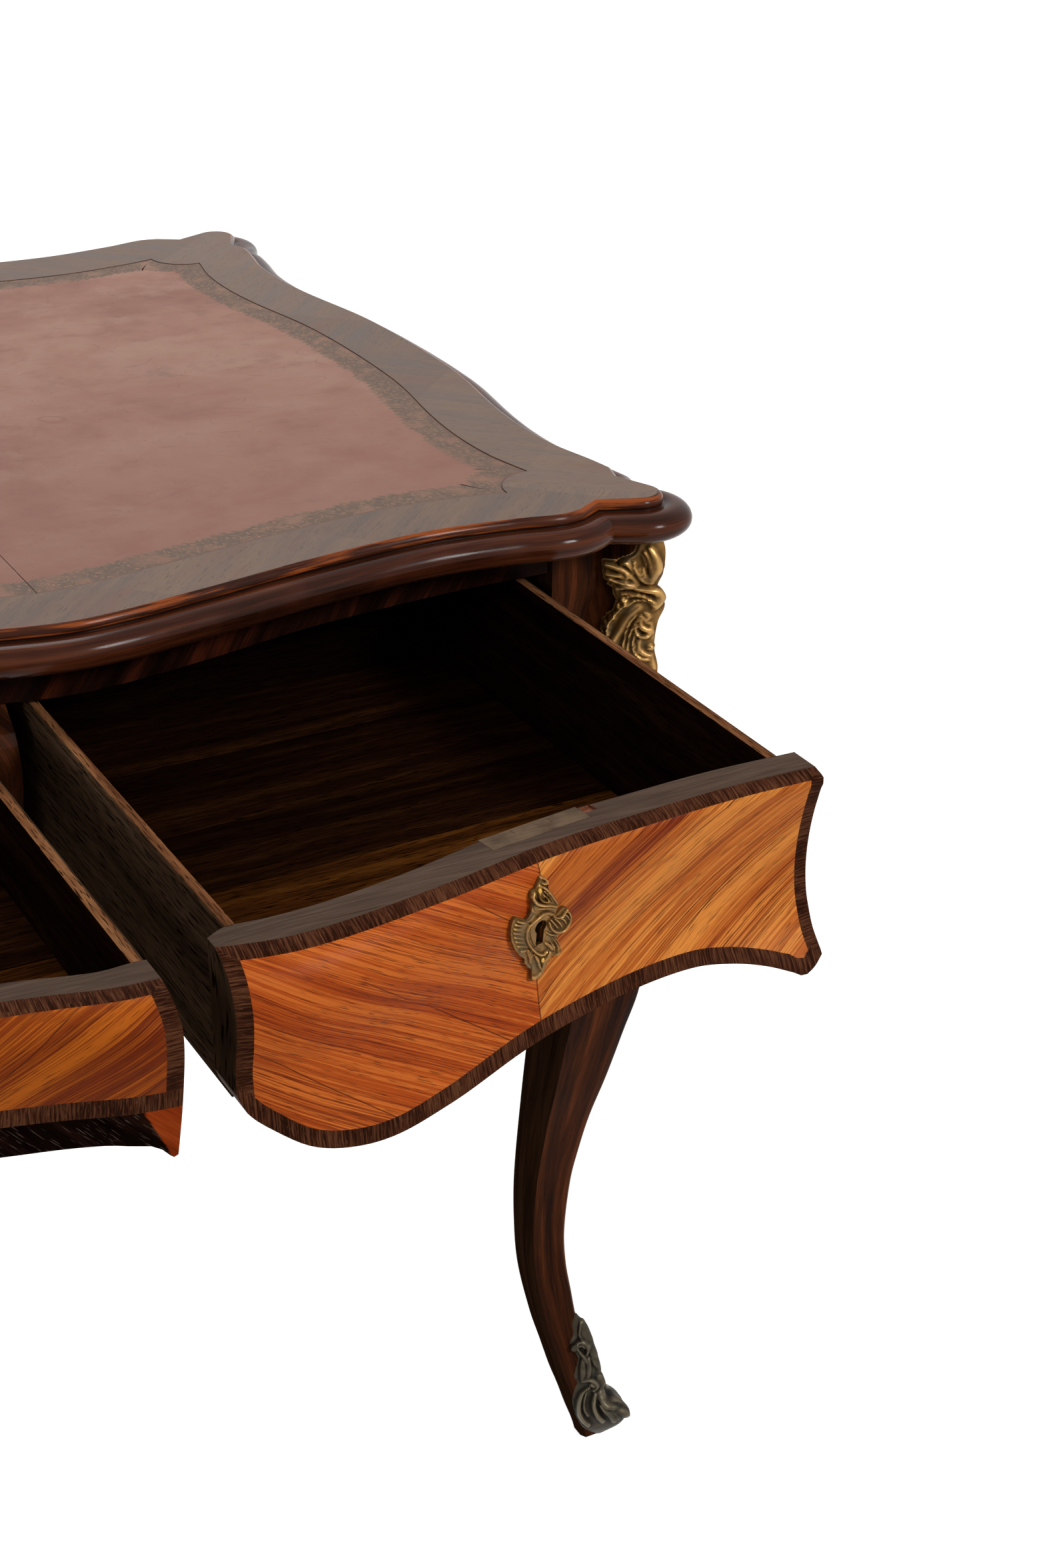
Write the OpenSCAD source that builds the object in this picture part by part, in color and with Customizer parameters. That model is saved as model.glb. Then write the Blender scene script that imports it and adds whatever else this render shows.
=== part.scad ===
// Bureau plat, a flat writing desk with three frieze drawers on cabriole legs.
// Millimetres. Origin on the floor under the middle of the top, front towards -Y.

/* [Overall] */
// Height of the writing surface
desk_h = 780; // [750:5:810]
// Length between the tips of the ears
desk_w = 1440; // [1400:10:1520]
// Depth between the tips of the ears
desk_d = 732; // [716:2:760]
// How far the right drawer stands open
right_open = 316; // [0:2:380]
// How far the centre drawer stands open
centre_open = 345; // [0:5:380]
// How far the left drawer stands open
left_open = 0; // [0:5:380]

/* [Top] */
// Height of the edge moulding with its veneer
edge_h = 27; // [26:1:32]
// Radius of the round nose
nose_r = 10; // [8:0.5:11]
// How far the nose's centre stands out from the top's edge
nose_out = 8.7; // [7:0.1:10]
// Width of the moulding strip behind the top's edge
strip_w = 30; // [24:1:36]
// Width of the veneered border round the leather
border_w = 48; // [42:1:56]
// Thickness of the veneer on top and drawer fronts
veneer_t = 1.2; // [0.8:0.1:2]
// How far the leather lies below the veneer
leather_drop = 0.3; // [0.1:0.1:0.6]
// Radius of the scoop in each corner of the leather
scoop_r = 30; // [22:1:34]
// Distance of the leather's seams from the middle
seam_x = 311; // [290:1:330]

/* [Edge curve] */
// How far the front's middle lies behind the ears
centre_in = 25; // [18:1:30]
// How far the belly beside the stile stands before the ears
belly_out = 24; // [16:1:28]
// How far the waist lies behind the ears
waist_in = 8; // [4:1:12]
// How far the shoulder by the ear stands before the ears
shoulder_out = 5; // [2:1:7]
// How far the middle of each end stands beyond the ears
end_out = 3; // [0:1:8]
// How far the waist of each end lies inside the ears
end_in = 15; // [10:1:18]
// Distance of the notch from the ear's tip along the edge
ear_w = 41; // [34:1:44]
// Depth of the notch beside the ear
ear_in = 8; // [6:1:11]
// How much wider the border is along the back
back_more = 10; // [0:1:14]
// How much further the nose swells out at the ears
ear_swell = 0.25; // [0:0.05:0.4]

/* [Frieze] */
// Height of the rail over the drawers
rail_h = 25.5; // [22:0.5:30]
// Depth of the rail from front to back
rail_d = 45; // [38:1:52]
// How far the frieze lies behind the top's edge
frieze_in = 13; // [11:1:16]
// Distance of the stiles' middle from the desk's middle
stile_x = 263; // [250:1:280]
// Width of a stile
stile_w = 30; // [26:1:34]
// Gap beside and over each drawer front
front_gap = 2; // [1:0.5:3]
// Thickness of a drawer front without its veneer
front_t = 18.8; // [17:0.1:22]
// Thickness of the end panels
panel_t = 20; // [16:1:22]
// Thickness of the back board
back_t = 18; // [14:1:22]
// How far the back board reaches below the drawers' top edge
back_drop = 66; // [60:1:74]
// Thickness of the partitions and end bearers
board_t = 12; // [10:1:14]

/* [Drawers] */
// Thickness of a drawer side
side_t = 7.5; // [6:0.5:9]
// Height of the sides of the outer drawers
side_h = 105; // [98:1:108]
// Height of the sides of the centre drawer
centre_side_h = 69; // [62:1:69]
// Thickness of a drawer bottom
bottom_t = 8; // [6:1:10]
// Length of a drawer behind its front
drawer_l = 470; // [440:5:500]
// How far an outer drawer's side stands inside its front's end
side_in = 10.5; // [9:0.5:13]
// How far the centre drawer's side stands inside its front's end
centre_side_in = 0.5; // [0.3:0.1:2]
// Gap between the bottom boards
board_gap = 1.2; // [0.6:0.2:2]
// Running gap below a drawer side
run_gap = 0.3; // [0.2:0.1:0.6]
// Gap beside a drawer side
guide_gap = 0.8; // [0.5:0.1:1.5]
// Height of the runners
runner_h = 14; // [12:1:18]
// How far a runner reaches under its drawer side
runner_lap = 7; // [5:1:10]

/* [Locks] */
// Length of the lock's top plate
plate_l = 65; // [58:1:72]
// Width of the lock's top plate
plate_w = 14; // [12:0.5:14.5]
// How far the lock's plate lies behind the drawer's face
plate_in = 10.5; // [10:0.5:11]
// How far an outer keyhole stands from its front's middle
key_off = 5; // [0:0.5:8]
// Distance of the keyhole below a front's top edge
key_drop = 40; // [36:0.5:44]
// How far an outer lock stands off its keyhole
plate_shift = 20; // [0:1:22]
// Thickness of the lock's plate
plate_t = 2; // [1.5:0.5:3]
// Height of the lock case
case_h = 42; // [38:1:46]
// Length of the lock case
case_l = 52; // [46:1:54]
// Length of the bolt
bolt_l = 24; // [18:1:28]
// Thickness of the bolt
bolt_t = 4.5; // [4:0.25:5]
// How far the bolt rises
bolt_travel = 7; // [5:0.5:8]
// Clearance round the lock and its bolt
lock_gap = 0.3; // [0.2:0.05:0.5]
// Radius of the keyhole's round end
key_r = 3.4; // [2.8:0.1:4]
// Width of the keyhole's slot
key_slot = 4.4; // [4.2:0.1:5]
// Size of an escutcheon, as the share of a 60 mm tall one
escutcheon_s = 1; // [0.9:0.05:1.2]
// Thickness of an escutcheon
escutcheon_t = 3; // [2:0.5:4]

/* [Legs] */
// How far the post beside the frieze reaches in from the ear's tip
post_in = 66; // [62:1:70]
// Width of the bevel along a leg's edges
leg_bevel = 2.5; // [1.5:0.5:4]
// Height where the leg's wood ends inside its shoe
leg_foot = 4; // [3:0.5:8]
// Height of the bronze shoe
sabot_h = 108; // [98:2:116]
// Thickness of the bronze round the foot
sabot_t = 2.6; // [2:0.2:4]
// Lowest point of the corner mount above the floor
chute_foot = 474; // [460:2:500]
// Thickness of the corner mount's wings
chute_t = 4; // [3:0.5:6]
// Radius of a mounting pin
pin_r = 1.5; // [1:0.1:2]
// Length of a mounting pin
pin_l = 14; // [10:1:18]

/* [Hidden] */
$fn = 48;
half_w = desk_w / 2;
half_d = desk_d / 2;
under = desk_h - edge_h;
rail_z = under - rail_h;
drawer_top = rail_z - front_gap - 1.5;
front_full = front_t + veneer_t;
stile_l = stile_x - stile_w / 2;
stile_r = stile_x + stile_w / 2;
post_x = half_w - post_in;
post_y = half_d - post_in;
front_l = stile_r + front_gap;
front_r = post_x - front_gap;
centre_r = stile_l - front_gap;
lock_x = (front_l + front_r) / 2 - key_off;
plate_x = lock_x + plate_shift;
box_l = front_l + side_in;
box_r = front_r - side_in;
box_c = centre_r - centre_side_in;
side_z = drawer_top - side_h;
centre_side_z = drawer_top - centre_side_h;
eps = 0.01;

// Smooth curve through knots [t, value], with t rising.
function knot(k, t, i = 0) = (i >= len(k) - 2 || t < k[i + 1][0]) ? i : knot(k, t, i + 1);
function lean(k, i) =
    let (a = max(i - 1, 0), b = min(i + 1, len(k) - 1))
    (k[b][1] - k[a][1]) / (k[b][0] - k[a][0]);
function smooth(k, t) =
    let (
        i = knot(k, t),
        w = k[i + 1][0] - k[i][0],
        s = (t - k[i][0]) / w,
        s2 = s * s,
        s3 = s2 * s
    )
    (2 * s3 - 3 * s2 + 1) * k[i][1] + (s3 - 2 * s2 + s) * w * lean(k, i)
    + (3 * s2 - 2 * s3) * k[i + 1][1] + (s3 - s2) * w * lean(k, i + 1);

// Half depth of the top along its front, from the middle to the shoulder.
third = stile_x / 3;
belly_x = stile_x + 58;
waist_x = half_w - 164;
shoulder_x = half_w - 72;
flank = (waist_x - belly_x) / 3;
edge_knots = [
    [-third, half_d - centre_in + 1.5],
    [0, half_d - centre_in],
    [third, half_d - centre_in + 1.5],
    [2 * third, half_d - centre_in * 0.44],
    [stile_x, half_d + belly_out * 0.52],
    [belly_x, half_d + belly_out],
    [belly_x + flank, half_d + belly_out * 0.58],
    [belly_x + 2 * flank, half_d],
    [waist_x, half_d - waist_in],
    [waist_x + 60, half_d - waist_in * 0.25],
    [shoulder_x, half_d + shoulder_out],
    [half_w - 54, half_d + shoulder_out - 3.5],
];
function edge_y(x) = smooth(edge_knots, abs(x));

// Half length of the top along its end, from the middle to the ear.
end_knots = [
    [-50, half_w + end_out - 1],
    [0, half_w + end_out],
    [50, half_w + end_out - 1],
    [90, half_w + end_out - 4],
    [post_y - 140, half_w - (end_in - end_out) + 0.5],
    [post_y - 95, half_w - end_in],
    [post_y - 50, half_w - end_in + 1.5],
    [post_y - 10, half_w - end_in * 0.4],
    [half_d - 58, half_w - end_in * 0.23],
];
function edge_x(y) = smooth(end_knots, abs(y));

// The frieze follows the top's edge, then runs straight to the post.
face_knots = [
    [-third, edge_y(third) - frieze_in],
    [0, edge_y(0) - frieze_in],
    [third, edge_y(third) - frieze_in],
    [2 * third, edge_y(2 * third) - frieze_in],
    [stile_x, edge_y(stile_x) - frieze_in],
    [belly_x, edge_y(belly_x) - frieze_in],
    [belly_x + flank, edge_y(belly_x + flank) - frieze_in],
    [belly_x + 2 * flank, edge_y(belly_x + 2 * flank) - frieze_in - 3],
    [waist_x, edge_y(waist_x) - frieze_in - 3.5],
    [waist_x + 44, half_d - 27],
    [post_x, half_d - 26],
];
function face_y(x) = smooth(face_knots, abs(x));
side_knots = [
    [-50, half_w + end_out - 14],
    [0, half_w + end_out - frieze_in],
    [50, half_w + end_out - 14],
    [120, half_w - 16],
    [post_y - 100, half_w - end_in - 11.5],
    [post_y - 50, half_w - end_in - 10.5],
    [post_y, half_w - 24],
];
function side_x(y) = smooth(side_knots, abs(y));

// Swell of the frieze: t is the height below the drawers' top edge.
swell_stile = [[0, 0], [4, 8], [12, 17], [28, 23], [46, 22], [64, 18], [77, 19],
    [100, 21], [140, 26]];
swell_inner = [[0, 0], [3, 12], [8, 21], [14, 26], [27, 26.5], [47, 22.5], [66, 17.5],
    [85, 11.5], [115, 1.5]];
swell_middle = [[0, 0], [8, 6], [16, 9], [30, 10.5], [50, 8], [85, 0]];
swell_post = [[0, 0], [3, 9], [12, 6.5], [26, 2], [40, -1.4], [54, -3.4], [67, -3.7], [80, -2],
    [89, 1.2], [99, 6], [105, 11], [111, 16.5], [125, 24]];
function swell_outer(x, t) =
    let (s = (abs(x) - front_l) / (front_r - front_l))
    (1 - s) * smooth(swell_stile, t) + s * smooth(swell_post, t);
function swell_centre(x, t) =
    let (s = pow(abs(x) / centre_r, 1.5))
    (1 - s) * smooth(swell_middle, t) + s * smooth(swell_inner, t);

// The centre drawer's face line draws back beside the stiles.
centre_back_knots = [[0, 0], [35, 0.3], [60, 5]];
function centre_face(x) =
    face_y(x) - smooth(centre_back_knots, max(0, abs(x) - centre_r + 60));

// Depth of an outer front from its face to its inner side, by distance from its end.
thick_knots = [[0, 10.5], [11, 19.5], [20, 21.5], [45, 22.5], [110, 22.5], [152, 24.5],
    [200, 24.5], [261, 22.5], [323, 21.5], [front_r - front_l, 21]];
function thick(x) = smooth(thick_knots, x - front_l);
// The same for the centre front, by distance from its end.
thin_knots = [[0, 20], [8, 19.9], [27, 17.3], [60, 17.4], [110, 18], [centre_r + 1, 18]];
function centre_thick(x) = smooth(thin_knots, centre_r - abs(x));

// Drop of each front's lower edge below the drawers' top edge.
front_span = front_r - front_l;
drop_outer = [[0, 76], [4, 86], [15, 97], [35, 111], [60, 118.5], [85, 120.5], [115, 117],
    [161, 109], [205, 104.5], [front_span - 120, 101], [front_span - 82, 101.5],
    [front_span - 57, 105.5], [front_span - 37, 110.7], [front_span - 21, 117.3],
    [front_span - 14.5, 120.3], [front_span - 7, 117.5], [front_span, 112]];
drop_centre = [[-100, 80], [0, 78], [100, 80], [centre_r - 80, 82.4], [centre_r - 36, 82.2],
    [centre_r - 22, 85], [centre_r - 14, 87], [centre_r - 9, 90.5], [centre_r - 5, 95.5],
    [centre_r - 2, 98.5], [centre_r, 97]];
drop_side = [[-50, 102], [0, 108], [50, 102], [120, 94], [post_y - 100, 98],
    [post_y - 40, 112], [post_y, 120]];
function drop_o(x) = smooth(drop_outer, abs(x) - front_l);
function drop_c(x) = smooth(drop_centre, abs(x));

// Stations across a front and up it.
steps_outer = [0, 0.011, 0.04, 0.09, 0.16, 0.23, 0.31, 0.39, 0.47, 0.55, 0.63, 0.71, 0.78,
    0.845, 0.9, 0.943, 0.962, 0.981, 1];
steps_half = [0, 0.2, 0.4, 0.58, 0.72, 0.83, 0.9, 0.94, 0.965, 0.982, 1];
steps_centre = concat([for (i = [10:-1:1]) -steps_half[i]], steps_half);
steps_up = [0, 0.13, 0.28, 0.43, 0.58, 0.72, 0.84, 0.92, 0.97, 1];

// Closed solid between two grids of points, seen face first from -Y.
module slab(face, back) {
    n = len(face);
    m = len(face[0]);
    function at(i, j) = i * m + j;
    function bt(i, j) = n * m + i * m + j;
    quads = concat(
        [for (i = [0:n - 2], j = [0:m - 2]) [at(i, j), at(i, j + 1), at(i + 1, j + 1), at(i + 1, j)]],
        [for (i = [0:n - 2], j = [0:m - 2]) [bt(i, j), bt(i + 1, j), bt(i + 1, j + 1), bt(i, j + 1)]],
        [for (i = [0:n - 2]) [at(i, 0), at(i + 1, 0), bt(i + 1, 0), bt(i, 0)]],
        [for (i = [0:n - 2]) [at(i, m - 1), bt(i, m - 1), bt(i + 1, m - 1), at(i + 1, m - 1)]],
        [for (j = [0:m - 2]) [at(0, j), bt(0, j), bt(0, j + 1), at(0, j + 1)]],
        [for (j = [0:m - 2]) [at(n - 1, j), at(n - 1, j + 1), bt(n - 1, j + 1), bt(n - 1, j)]]
    );
    polyhedron(
        points = concat([for (c = face) for (p = c) p], [for (c = back) for (p = c) p]),
        faces = [for (q = quads) each [[q[0], q[1], q[2]], [q[0], q[2], q[3]]]]
    );
}

// Closed solid through a stack of rings that run anticlockwise seen from above.
module tower(rings) {
    n = len(rings[0]);
    m = len(rings);
    polyhedron(
        points = [for (r = rings) for (p = r) p],
        faces = concat(
            [[for (i = [0:n - 1]) i]],
            [[for (i = [n - 1:-1:0]) (m - 1) * n + i]],
            [for (k = [0:m - 2], i = [0:n - 1]) each let (j = (i + 1) % n)
                [[k * n + i, (k + 1) * n + i, (k + 1) * n + j],
                 [k * n + i, (k + 1) * n + j, k * n + j]]]
        )
    );
}

// Closed ring solid through rings like those of tower(), with the last joined to the first.
module frame_of(rings) {
    n = len(rings[0]);
    m = len(rings);
    polyhedron(
        points = [for (r = rings) for (p = r) p],
        faces = [for (k = [0:m - 1], i = [0:n - 1]) each let (j = (i + 1) % n, l = (k + 1) % m)
            [[k * n + i, l * n + i, l * n + j], [k * n + i, l * n + j, k * n + j]]]
    );
}

// Places a front right corner piece at any corner.
module corner(right, front) {
    mirror([right ? 0 : 1, 0, 0])
        mirror([0, front ? 0 : 1, 0])
            children();
}

// Grid of an outer front at depth d behind its face; swelling says if it swells.
function outer_grid(d, swelling) =
    [for (s = steps_outer)
        let (x = front_l + s * front_span, drop = drop_o(x))
        [for (r = steps_up)
            let (t = drop * (1 - r))
            [x, d - face_y(x) - (swelling ? swell_outer(x, t) : 0), drawer_top - t]]];
function centre_grid(d, swelling) =
    [for (s = steps_centre)
        let (x = s * centre_r, drop = drop_c(x))
        [for (r = steps_up)
            let (t = drop * (1 - r))
            [x, d - centre_face(x) - (swelling ? swell_centre(x, t) : 0), drawer_top - t]]];
// The inner sides of the drawers' fronts, and their lines in plan as [x, y].
function inner_grid() =
    [for (p = inner_line)
        let (drop = drop_o(p[0]))
        [for (r = steps_up) [p[0], p[1], drawer_top - drop * (1 - r)]]];
function centre_inner_grid() =
    [for (p = centre_inner_line)
        let (drop = drop_c(p[0]))
        [for (r = steps_up) [p[0], p[1], drawer_top - drop * (1 - r)]]];
inner_line = [for (s = steps_outer) let (x = front_l + s * front_span) [x, thick(x) - face_y(x)]];
centre_inner_line =
    [for (s = steps_centre) let (x = s * centre_r) [x, centre_thick(x) - centre_face(x)]];
// The stretch of such a line from xa to xb.
function stretch(line, xa, xb) = concat(
    [[xa, lookup(xa, line)]],
    [for (p = line) if (p[0] > xa && p[0] < xb) p],
    [[xb, lookup(xb, line)]]
);

// Frame whose origin lies on the face curve at x, turned to follow it.
module on_face(x, tilt) {
    translate([x, -face_y(x), 0])
        rotate([0, 0, tilt])
            children();
}
function face_tilt(x) = atan((face_y(x - 5) - face_y(x + 5)) / 10);

module lock_place() {
    on_face(plate_x, face_tilt(plate_x))
        children();
}
outer_face_tilt = atan((face_y(lock_x - 5) + swell_outer(lock_x - 5, key_drop)
    - face_y(lock_x + 5) - swell_outer(lock_x + 5, key_drop)) / 10);

bolt_h = 22;
bolt_y = plate_in + 0.7 * plate_w - bolt_t / 2;

module keyhole(z, depth) {
    translate([0, -depth, z])
        rotate([-90, 0, 0])
            cylinder(r = key_r, h = 2 * depth);
    translate([-key_slot / 2, -depth, z - 12])
        cube([key_slot, 2 * depth, 12]);
}

module centre_place() {
    on_face(0, 0)
        translate([0, centre_thick(0) - plate_in - plate_w, 0])
            children();
}

// Room for the lock in the top and back of a front.
module lock_room(case_at) {
    g = lock_gap;
    translate([-plate_l / 2 - g, plate_in - g, drawer_top - plate_t - g])
        cube([plate_l + 2 * g, 2 * front_full, plate_t + 5]);
    translate([case_at - case_l / 2 - g, plate_in + 1 - g, drawer_top - plate_t - case_h - g])
        cube([case_l + 2 * g, 2 * front_full, case_h + 5]);
}

// A lock let into the top edge, with its keyhole at x = key_at and z.
module lock_case(key_at, case_at, z) {
    difference() {
        union() {
            translate([-plate_l / 2, plate_in, drawer_top - plate_t])
                cube([plate_l, plate_w, plate_t]);
            translate([case_at - case_l / 2, plate_in + 1, drawer_top - plate_t - case_h])
                cube([case_l, plate_w - 1, case_h]);
        }
        translate([-bolt_l / 2 - lock_gap, bolt_y - lock_gap, drawer_top - bolt_h - lock_gap])
            cube([bolt_l + 2 * lock_gap, bolt_t + 2 * lock_gap, bolt_h + 5]);
        translate([key_at, bolt_y - 1, 0])
            intersection() {
                keyhole(z, 20);
                translate([-20, -20, z - 30])
                    cube([40, 20, 60]);
            }
    }
}

module bolt() {
    translate([-bolt_l / 2, bolt_y, drawer_top - bolt_h])
        cube([bolt_l, bolt_t, bolt_h]);
}

// Outline of the shaped plates: reach from the keyhole by angle.
plate_knots = [[-30, 16], [0, 19], [20, 20], [45, 14], [75, 26], [92, 28.5], [112, 21], [135, 12],
    [160, 17.5], [182, 20], [205, 21], [235, 25.5], [258, 32], [275, 27.5], [300, 20], [330, 16],
    [360, 19], [380, 20]];
module plate_outline(drop) {
    translate([0, 60, drawer_top - drop])
        rotate([90, 0, 0])
            linear_extrude(height = 120)
                polygon([for (a = [0:10:350])
                    escutcheon_s * smooth(plate_knots, a) * [cos(a), sin(a)]]);
}
// The columns of a grid that lie under a shaped plate.
function part_of(grid, from, to) = [for (i = [from:to]) grid[i]];
module outer_escutcheon() {
    difference() {
        intersection() {
            slab(part_of(outer_grid(-escutcheon_t, true), 7, 10), part_of(outer_grid(0, true), 7, 10));
            on_face(lock_x, outer_face_tilt)
                plate_outline(key_drop);
        }
        on_face(lock_x, outer_face_tilt)
            keyhole(drawer_top - key_drop, 50);
    }
}
module centre_escutcheon() {
    difference() {
        intersection() {
            slab(part_of(centre_grid(-escutcheon_t, true), 9, 11), part_of(centre_grid(0, true), 9, 11));
            on_face(0, 0)
                plate_outline(key_drop);
        }
        on_face(0, 0)
            keyhole(drawer_top - key_drop, 50);
    }
}

// Drawer parts of the right drawer, drawn closed.
module outer_front() {
    difference() {
        slab(outer_grid(veneer_t, true), inner_grid());
        lock_place()
            lock_room(-plate_shift / 4);
        on_face(lock_x, outer_face_tilt)
            keyhole(drawer_top - key_drop, 50);
    }
}
module outer_veneer() {
    difference() {
        slab(outer_grid(0, true), outer_grid(veneer_t, true));
        on_face(lock_x, outer_face_tilt)
            keyhole(drawer_top - key_drop, 50);
    }
}
module outer_sides() {
    for (x = [box_l, box_r - side_t])
        translate([0, 0, side_z])
            linear_extrude(height = side_h)
                polygon(concat(
                    stretch(inner_line, x, x + side_t),
                    [[x + side_t, outer_end], [x, outer_end]]
                ));
}
outer_end = drawer_l + lookup(box_l, inner_line);
centre_end = drawer_l + lookup(box_c, centre_inner_line);
back_board = 10;
back_low = 8;

module outer_back() {
    translate([box_l + side_t, outer_end - back_board, side_z + bottom_t])
        cube([box_r - box_l - 2 * side_t, back_board, side_h - bottom_t - back_low]);
}

// Bottom boards between sides at xa and xb; joints are [y at xa, y at xb].
// front holds the boards' front edge.
module boards(front, z, end, joints) {
    xa = front[0][0];
    xb = front[len(front) - 1][0];
    rows = concat(
        [front],
        [for (j = joints) [[xa, j[0]], [xb, j[1]]]],
        [[[xa, end], [xb, end]]]
    );
    translate([0, 0, z])
        for (k = [0:len(rows) - 2]) {
            gap_a = k == 0 ? 0 : board_gap / 2;
            gap_b = k == len(rows) - 2 ? 0 : board_gap / 2;
            linear_extrude(height = bottom_t)
                polygon(concat(
                    [for (p = rows[k]) [p[0], p[1] + gap_a]],
                    [for (i = [1, 0]) [rows[k + 1][i][0], rows[k + 1][i][1] - gap_b]]
                ));
        }
}
module outer_bottom() {
    boards(stretch(inner_line, box_l + side_t, box_r - side_t), side_z, outer_end, [
        [outer_end - 268, outer_end - 258],
        [outer_end - 193, outer_end - 172],
        [outer_end - 95, outer_end - 95]
    ]);
}
module outer_lock() {
    lock_place()
        lock_case(-plate_shift, -plate_shift / 4, drawer_top - key_drop);
}
module outer_bolt() {
    lock_place()
        bolt();
}

// Drawer parts of the centre drawer, drawn closed.
module centre_front() {
    difference() {
        slab(centre_grid(veneer_t, true), centre_inner_grid());
        centre_place()
            lock_room(0);
        on_face(0, 0)
            keyhole(drawer_top - key_drop, 50);
    }
}
module centre_veneer() {
    difference() {
        slab(centre_grid(0, true), centre_grid(veneer_t, true));
        on_face(0, 0)
            keyhole(drawer_top - key_drop, 50);
    }
}
module centre_sides() {
    for (x = [-box_c, box_c - side_t])
        translate([0, 0, centre_side_z])
            linear_extrude(height = centre_side_h)
                polygon(concat(
                    stretch(centre_inner_line, x, x + side_t),
                    [[x + side_t, centre_end], [x, centre_end]]
                ));
}
module centre_back() {
    translate([side_t - box_c, centre_end - back_board, centre_side_z + bottom_t])
        cube([2 * (box_c - side_t), back_board, centre_side_h - bottom_t - back_low]);
}
module centre_bottom() {
    boards(stretch(centre_inner_line, side_t - box_c, box_c - side_t), centre_side_z, centre_end, [
        [centre_end - 340, centre_end - 344],
        [centre_end - 225, centre_end - 222],
        [centre_end - 110, centre_end - 112]
    ]);
}

// A drawer part moved out by d, mirrored for the left drawer.
module right_drawer() {
    translate([0, -right_open, 0])
        children();
}
module left_drawer() {
    translate([0, -left_open, 0])
        mirror([1, 0, 0])
            children();
}
module centre_drawer() {
    translate([0, -centre_open, 0])
        children();
}

// Outline of a panel whose edge lies w inside the top's edge, with scooped corners.
function panel_quarter(w, scoop) =
    let (
        cx = half_w - 7 - w,
        cy = half_d + 2 - w,
        xe = cx - scoop,
        ye = cy - scoop
    )
    concat(
        [for (i = [0:18]) let (x = xe * i / 18) [x, w - edge_y(x)]],
        [for (a = [165:-15:105]) [cx + scoop * cos(a), -cy + scoop * sin(a)]],
        [for (i = [12:-1:0]) let (y = ye * i / 12) [edge_x(y) - w, -y]]
    );
function whole(q) =
    let (n = len(q))
    concat(
        q,
        [for (i = [n - 2:-1:0]) [q[i][0], -q[i][1]]],
        [for (i = [1:n - 1]) [-q[i][0], -q[i][1]]],
        [for (i = [n - 2:-1:1]) [-q[i][0], q[i][1]]]
    );

// Outline of the top's edge. An ear flares by ear_lean from its two notches to a round
// tip that touches the ear's corner.
ear_lean = 22.5;
ear_point = (ear_w * tan(ear_lean) - ear_in) / (1 - tan(ear_lean));
ear_r = ear_point * sqrt(2) / (1 / sin(45 - ear_lean) - 1);
ear_mid = ear_r / sqrt(2);
edge_stations = [0, 45, third, 1.5 * third, 2 * third, 2.4 * third, 2.75 * third,
    stile_x + 12, stile_x + 35, belly_x, belly_x + 32, belly_x + 66, belly_x + 1.4 * flank,
    belly_x + 2.1 * flank, waist_x, waist_x + 32, waist_x + 60, shoulder_x, half_w - 58];
end_stations = [0, 50, 90, post_y - 165, post_y - 130, post_y - 95, post_y - 60, post_y - 30,
    post_y - 8, half_d - 58];
edge_quarter = concat(
    [for (x = edge_stations) [x, -edge_y(x)]],
    [[half_w - ear_w, ear_in - half_d]],
    [for (i = [0:6]) let (a = ear_lean - (90 + 2 * ear_lean) * (1 - i / 6))
        [half_w - ear_mid + ear_r * cos(a), ear_mid - half_d + ear_r * sin(a)]],
    [[half_w - ear_in, ear_w - half_d]],
    [for (i = [len(end_stations) - 1:-1:0]) [edge_x(end_stations[i]), -end_stations[i]]]
);
function deepen(o) = [for (p = o) [p[0], p[1] * (p[1] > 0 ? 1 + back_more / half_d : 1)]];
edge_outline = deepen(whole(edge_quarter));

// The moulding's inner edge, point for point with the outer one, rounded in its corners.
core_r = 14;
core_x = half_w - 7 - strip_w - core_r;
core_y = half_d + 2 - strip_w - core_r;
core_quarter = concat(
    [for (x = edge_stations) let (u = x * core_x / (half_w - 58)) [u, strip_w - edge_y(u)]],
    [for (i = [0.5:1:8.5]) let (a = 10 * i - 90) [core_x + core_r * cos(a), core_r * sin(a) - core_y]],
    [for (i = [len(end_stations) - 1:-1:0])
        let (v = end_stations[i] * core_y / (half_d - 58)) [edge_x(v) - strip_w, -v]]
);
core_outline = deepen(whole(core_quarter));

// Outward direction at each corner of a closed outline, scaled so that sides move by one.
function side_normal(a, b) = let (d = b - a) [d[1], -d[0]] / norm(d);
function spread(o) =
    let (n = len(o))
    [for (i = [0:n - 1])
        let (
            u = side_normal(o[(i + n - 1) % n], o[i]),
            v = side_normal(o[i], o[(i + 1) % n])
        )
        (u + v) / (1 + u * v)];

// Section of the edge: [out from the top's edge, down from the surface].
nose_drop = edge_h - nose_r;
edge_section = concat(
    [[0, veneer_t], [2.4, 2.4], [3.3, 4.8], [2.8, nose_drop - 0.98 * nose_r]],
    [for (a = [115:-34.17:-91]) [nose_out + nose_r * cos(a), nose_drop - nose_r * sin(a)]]
);

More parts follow.
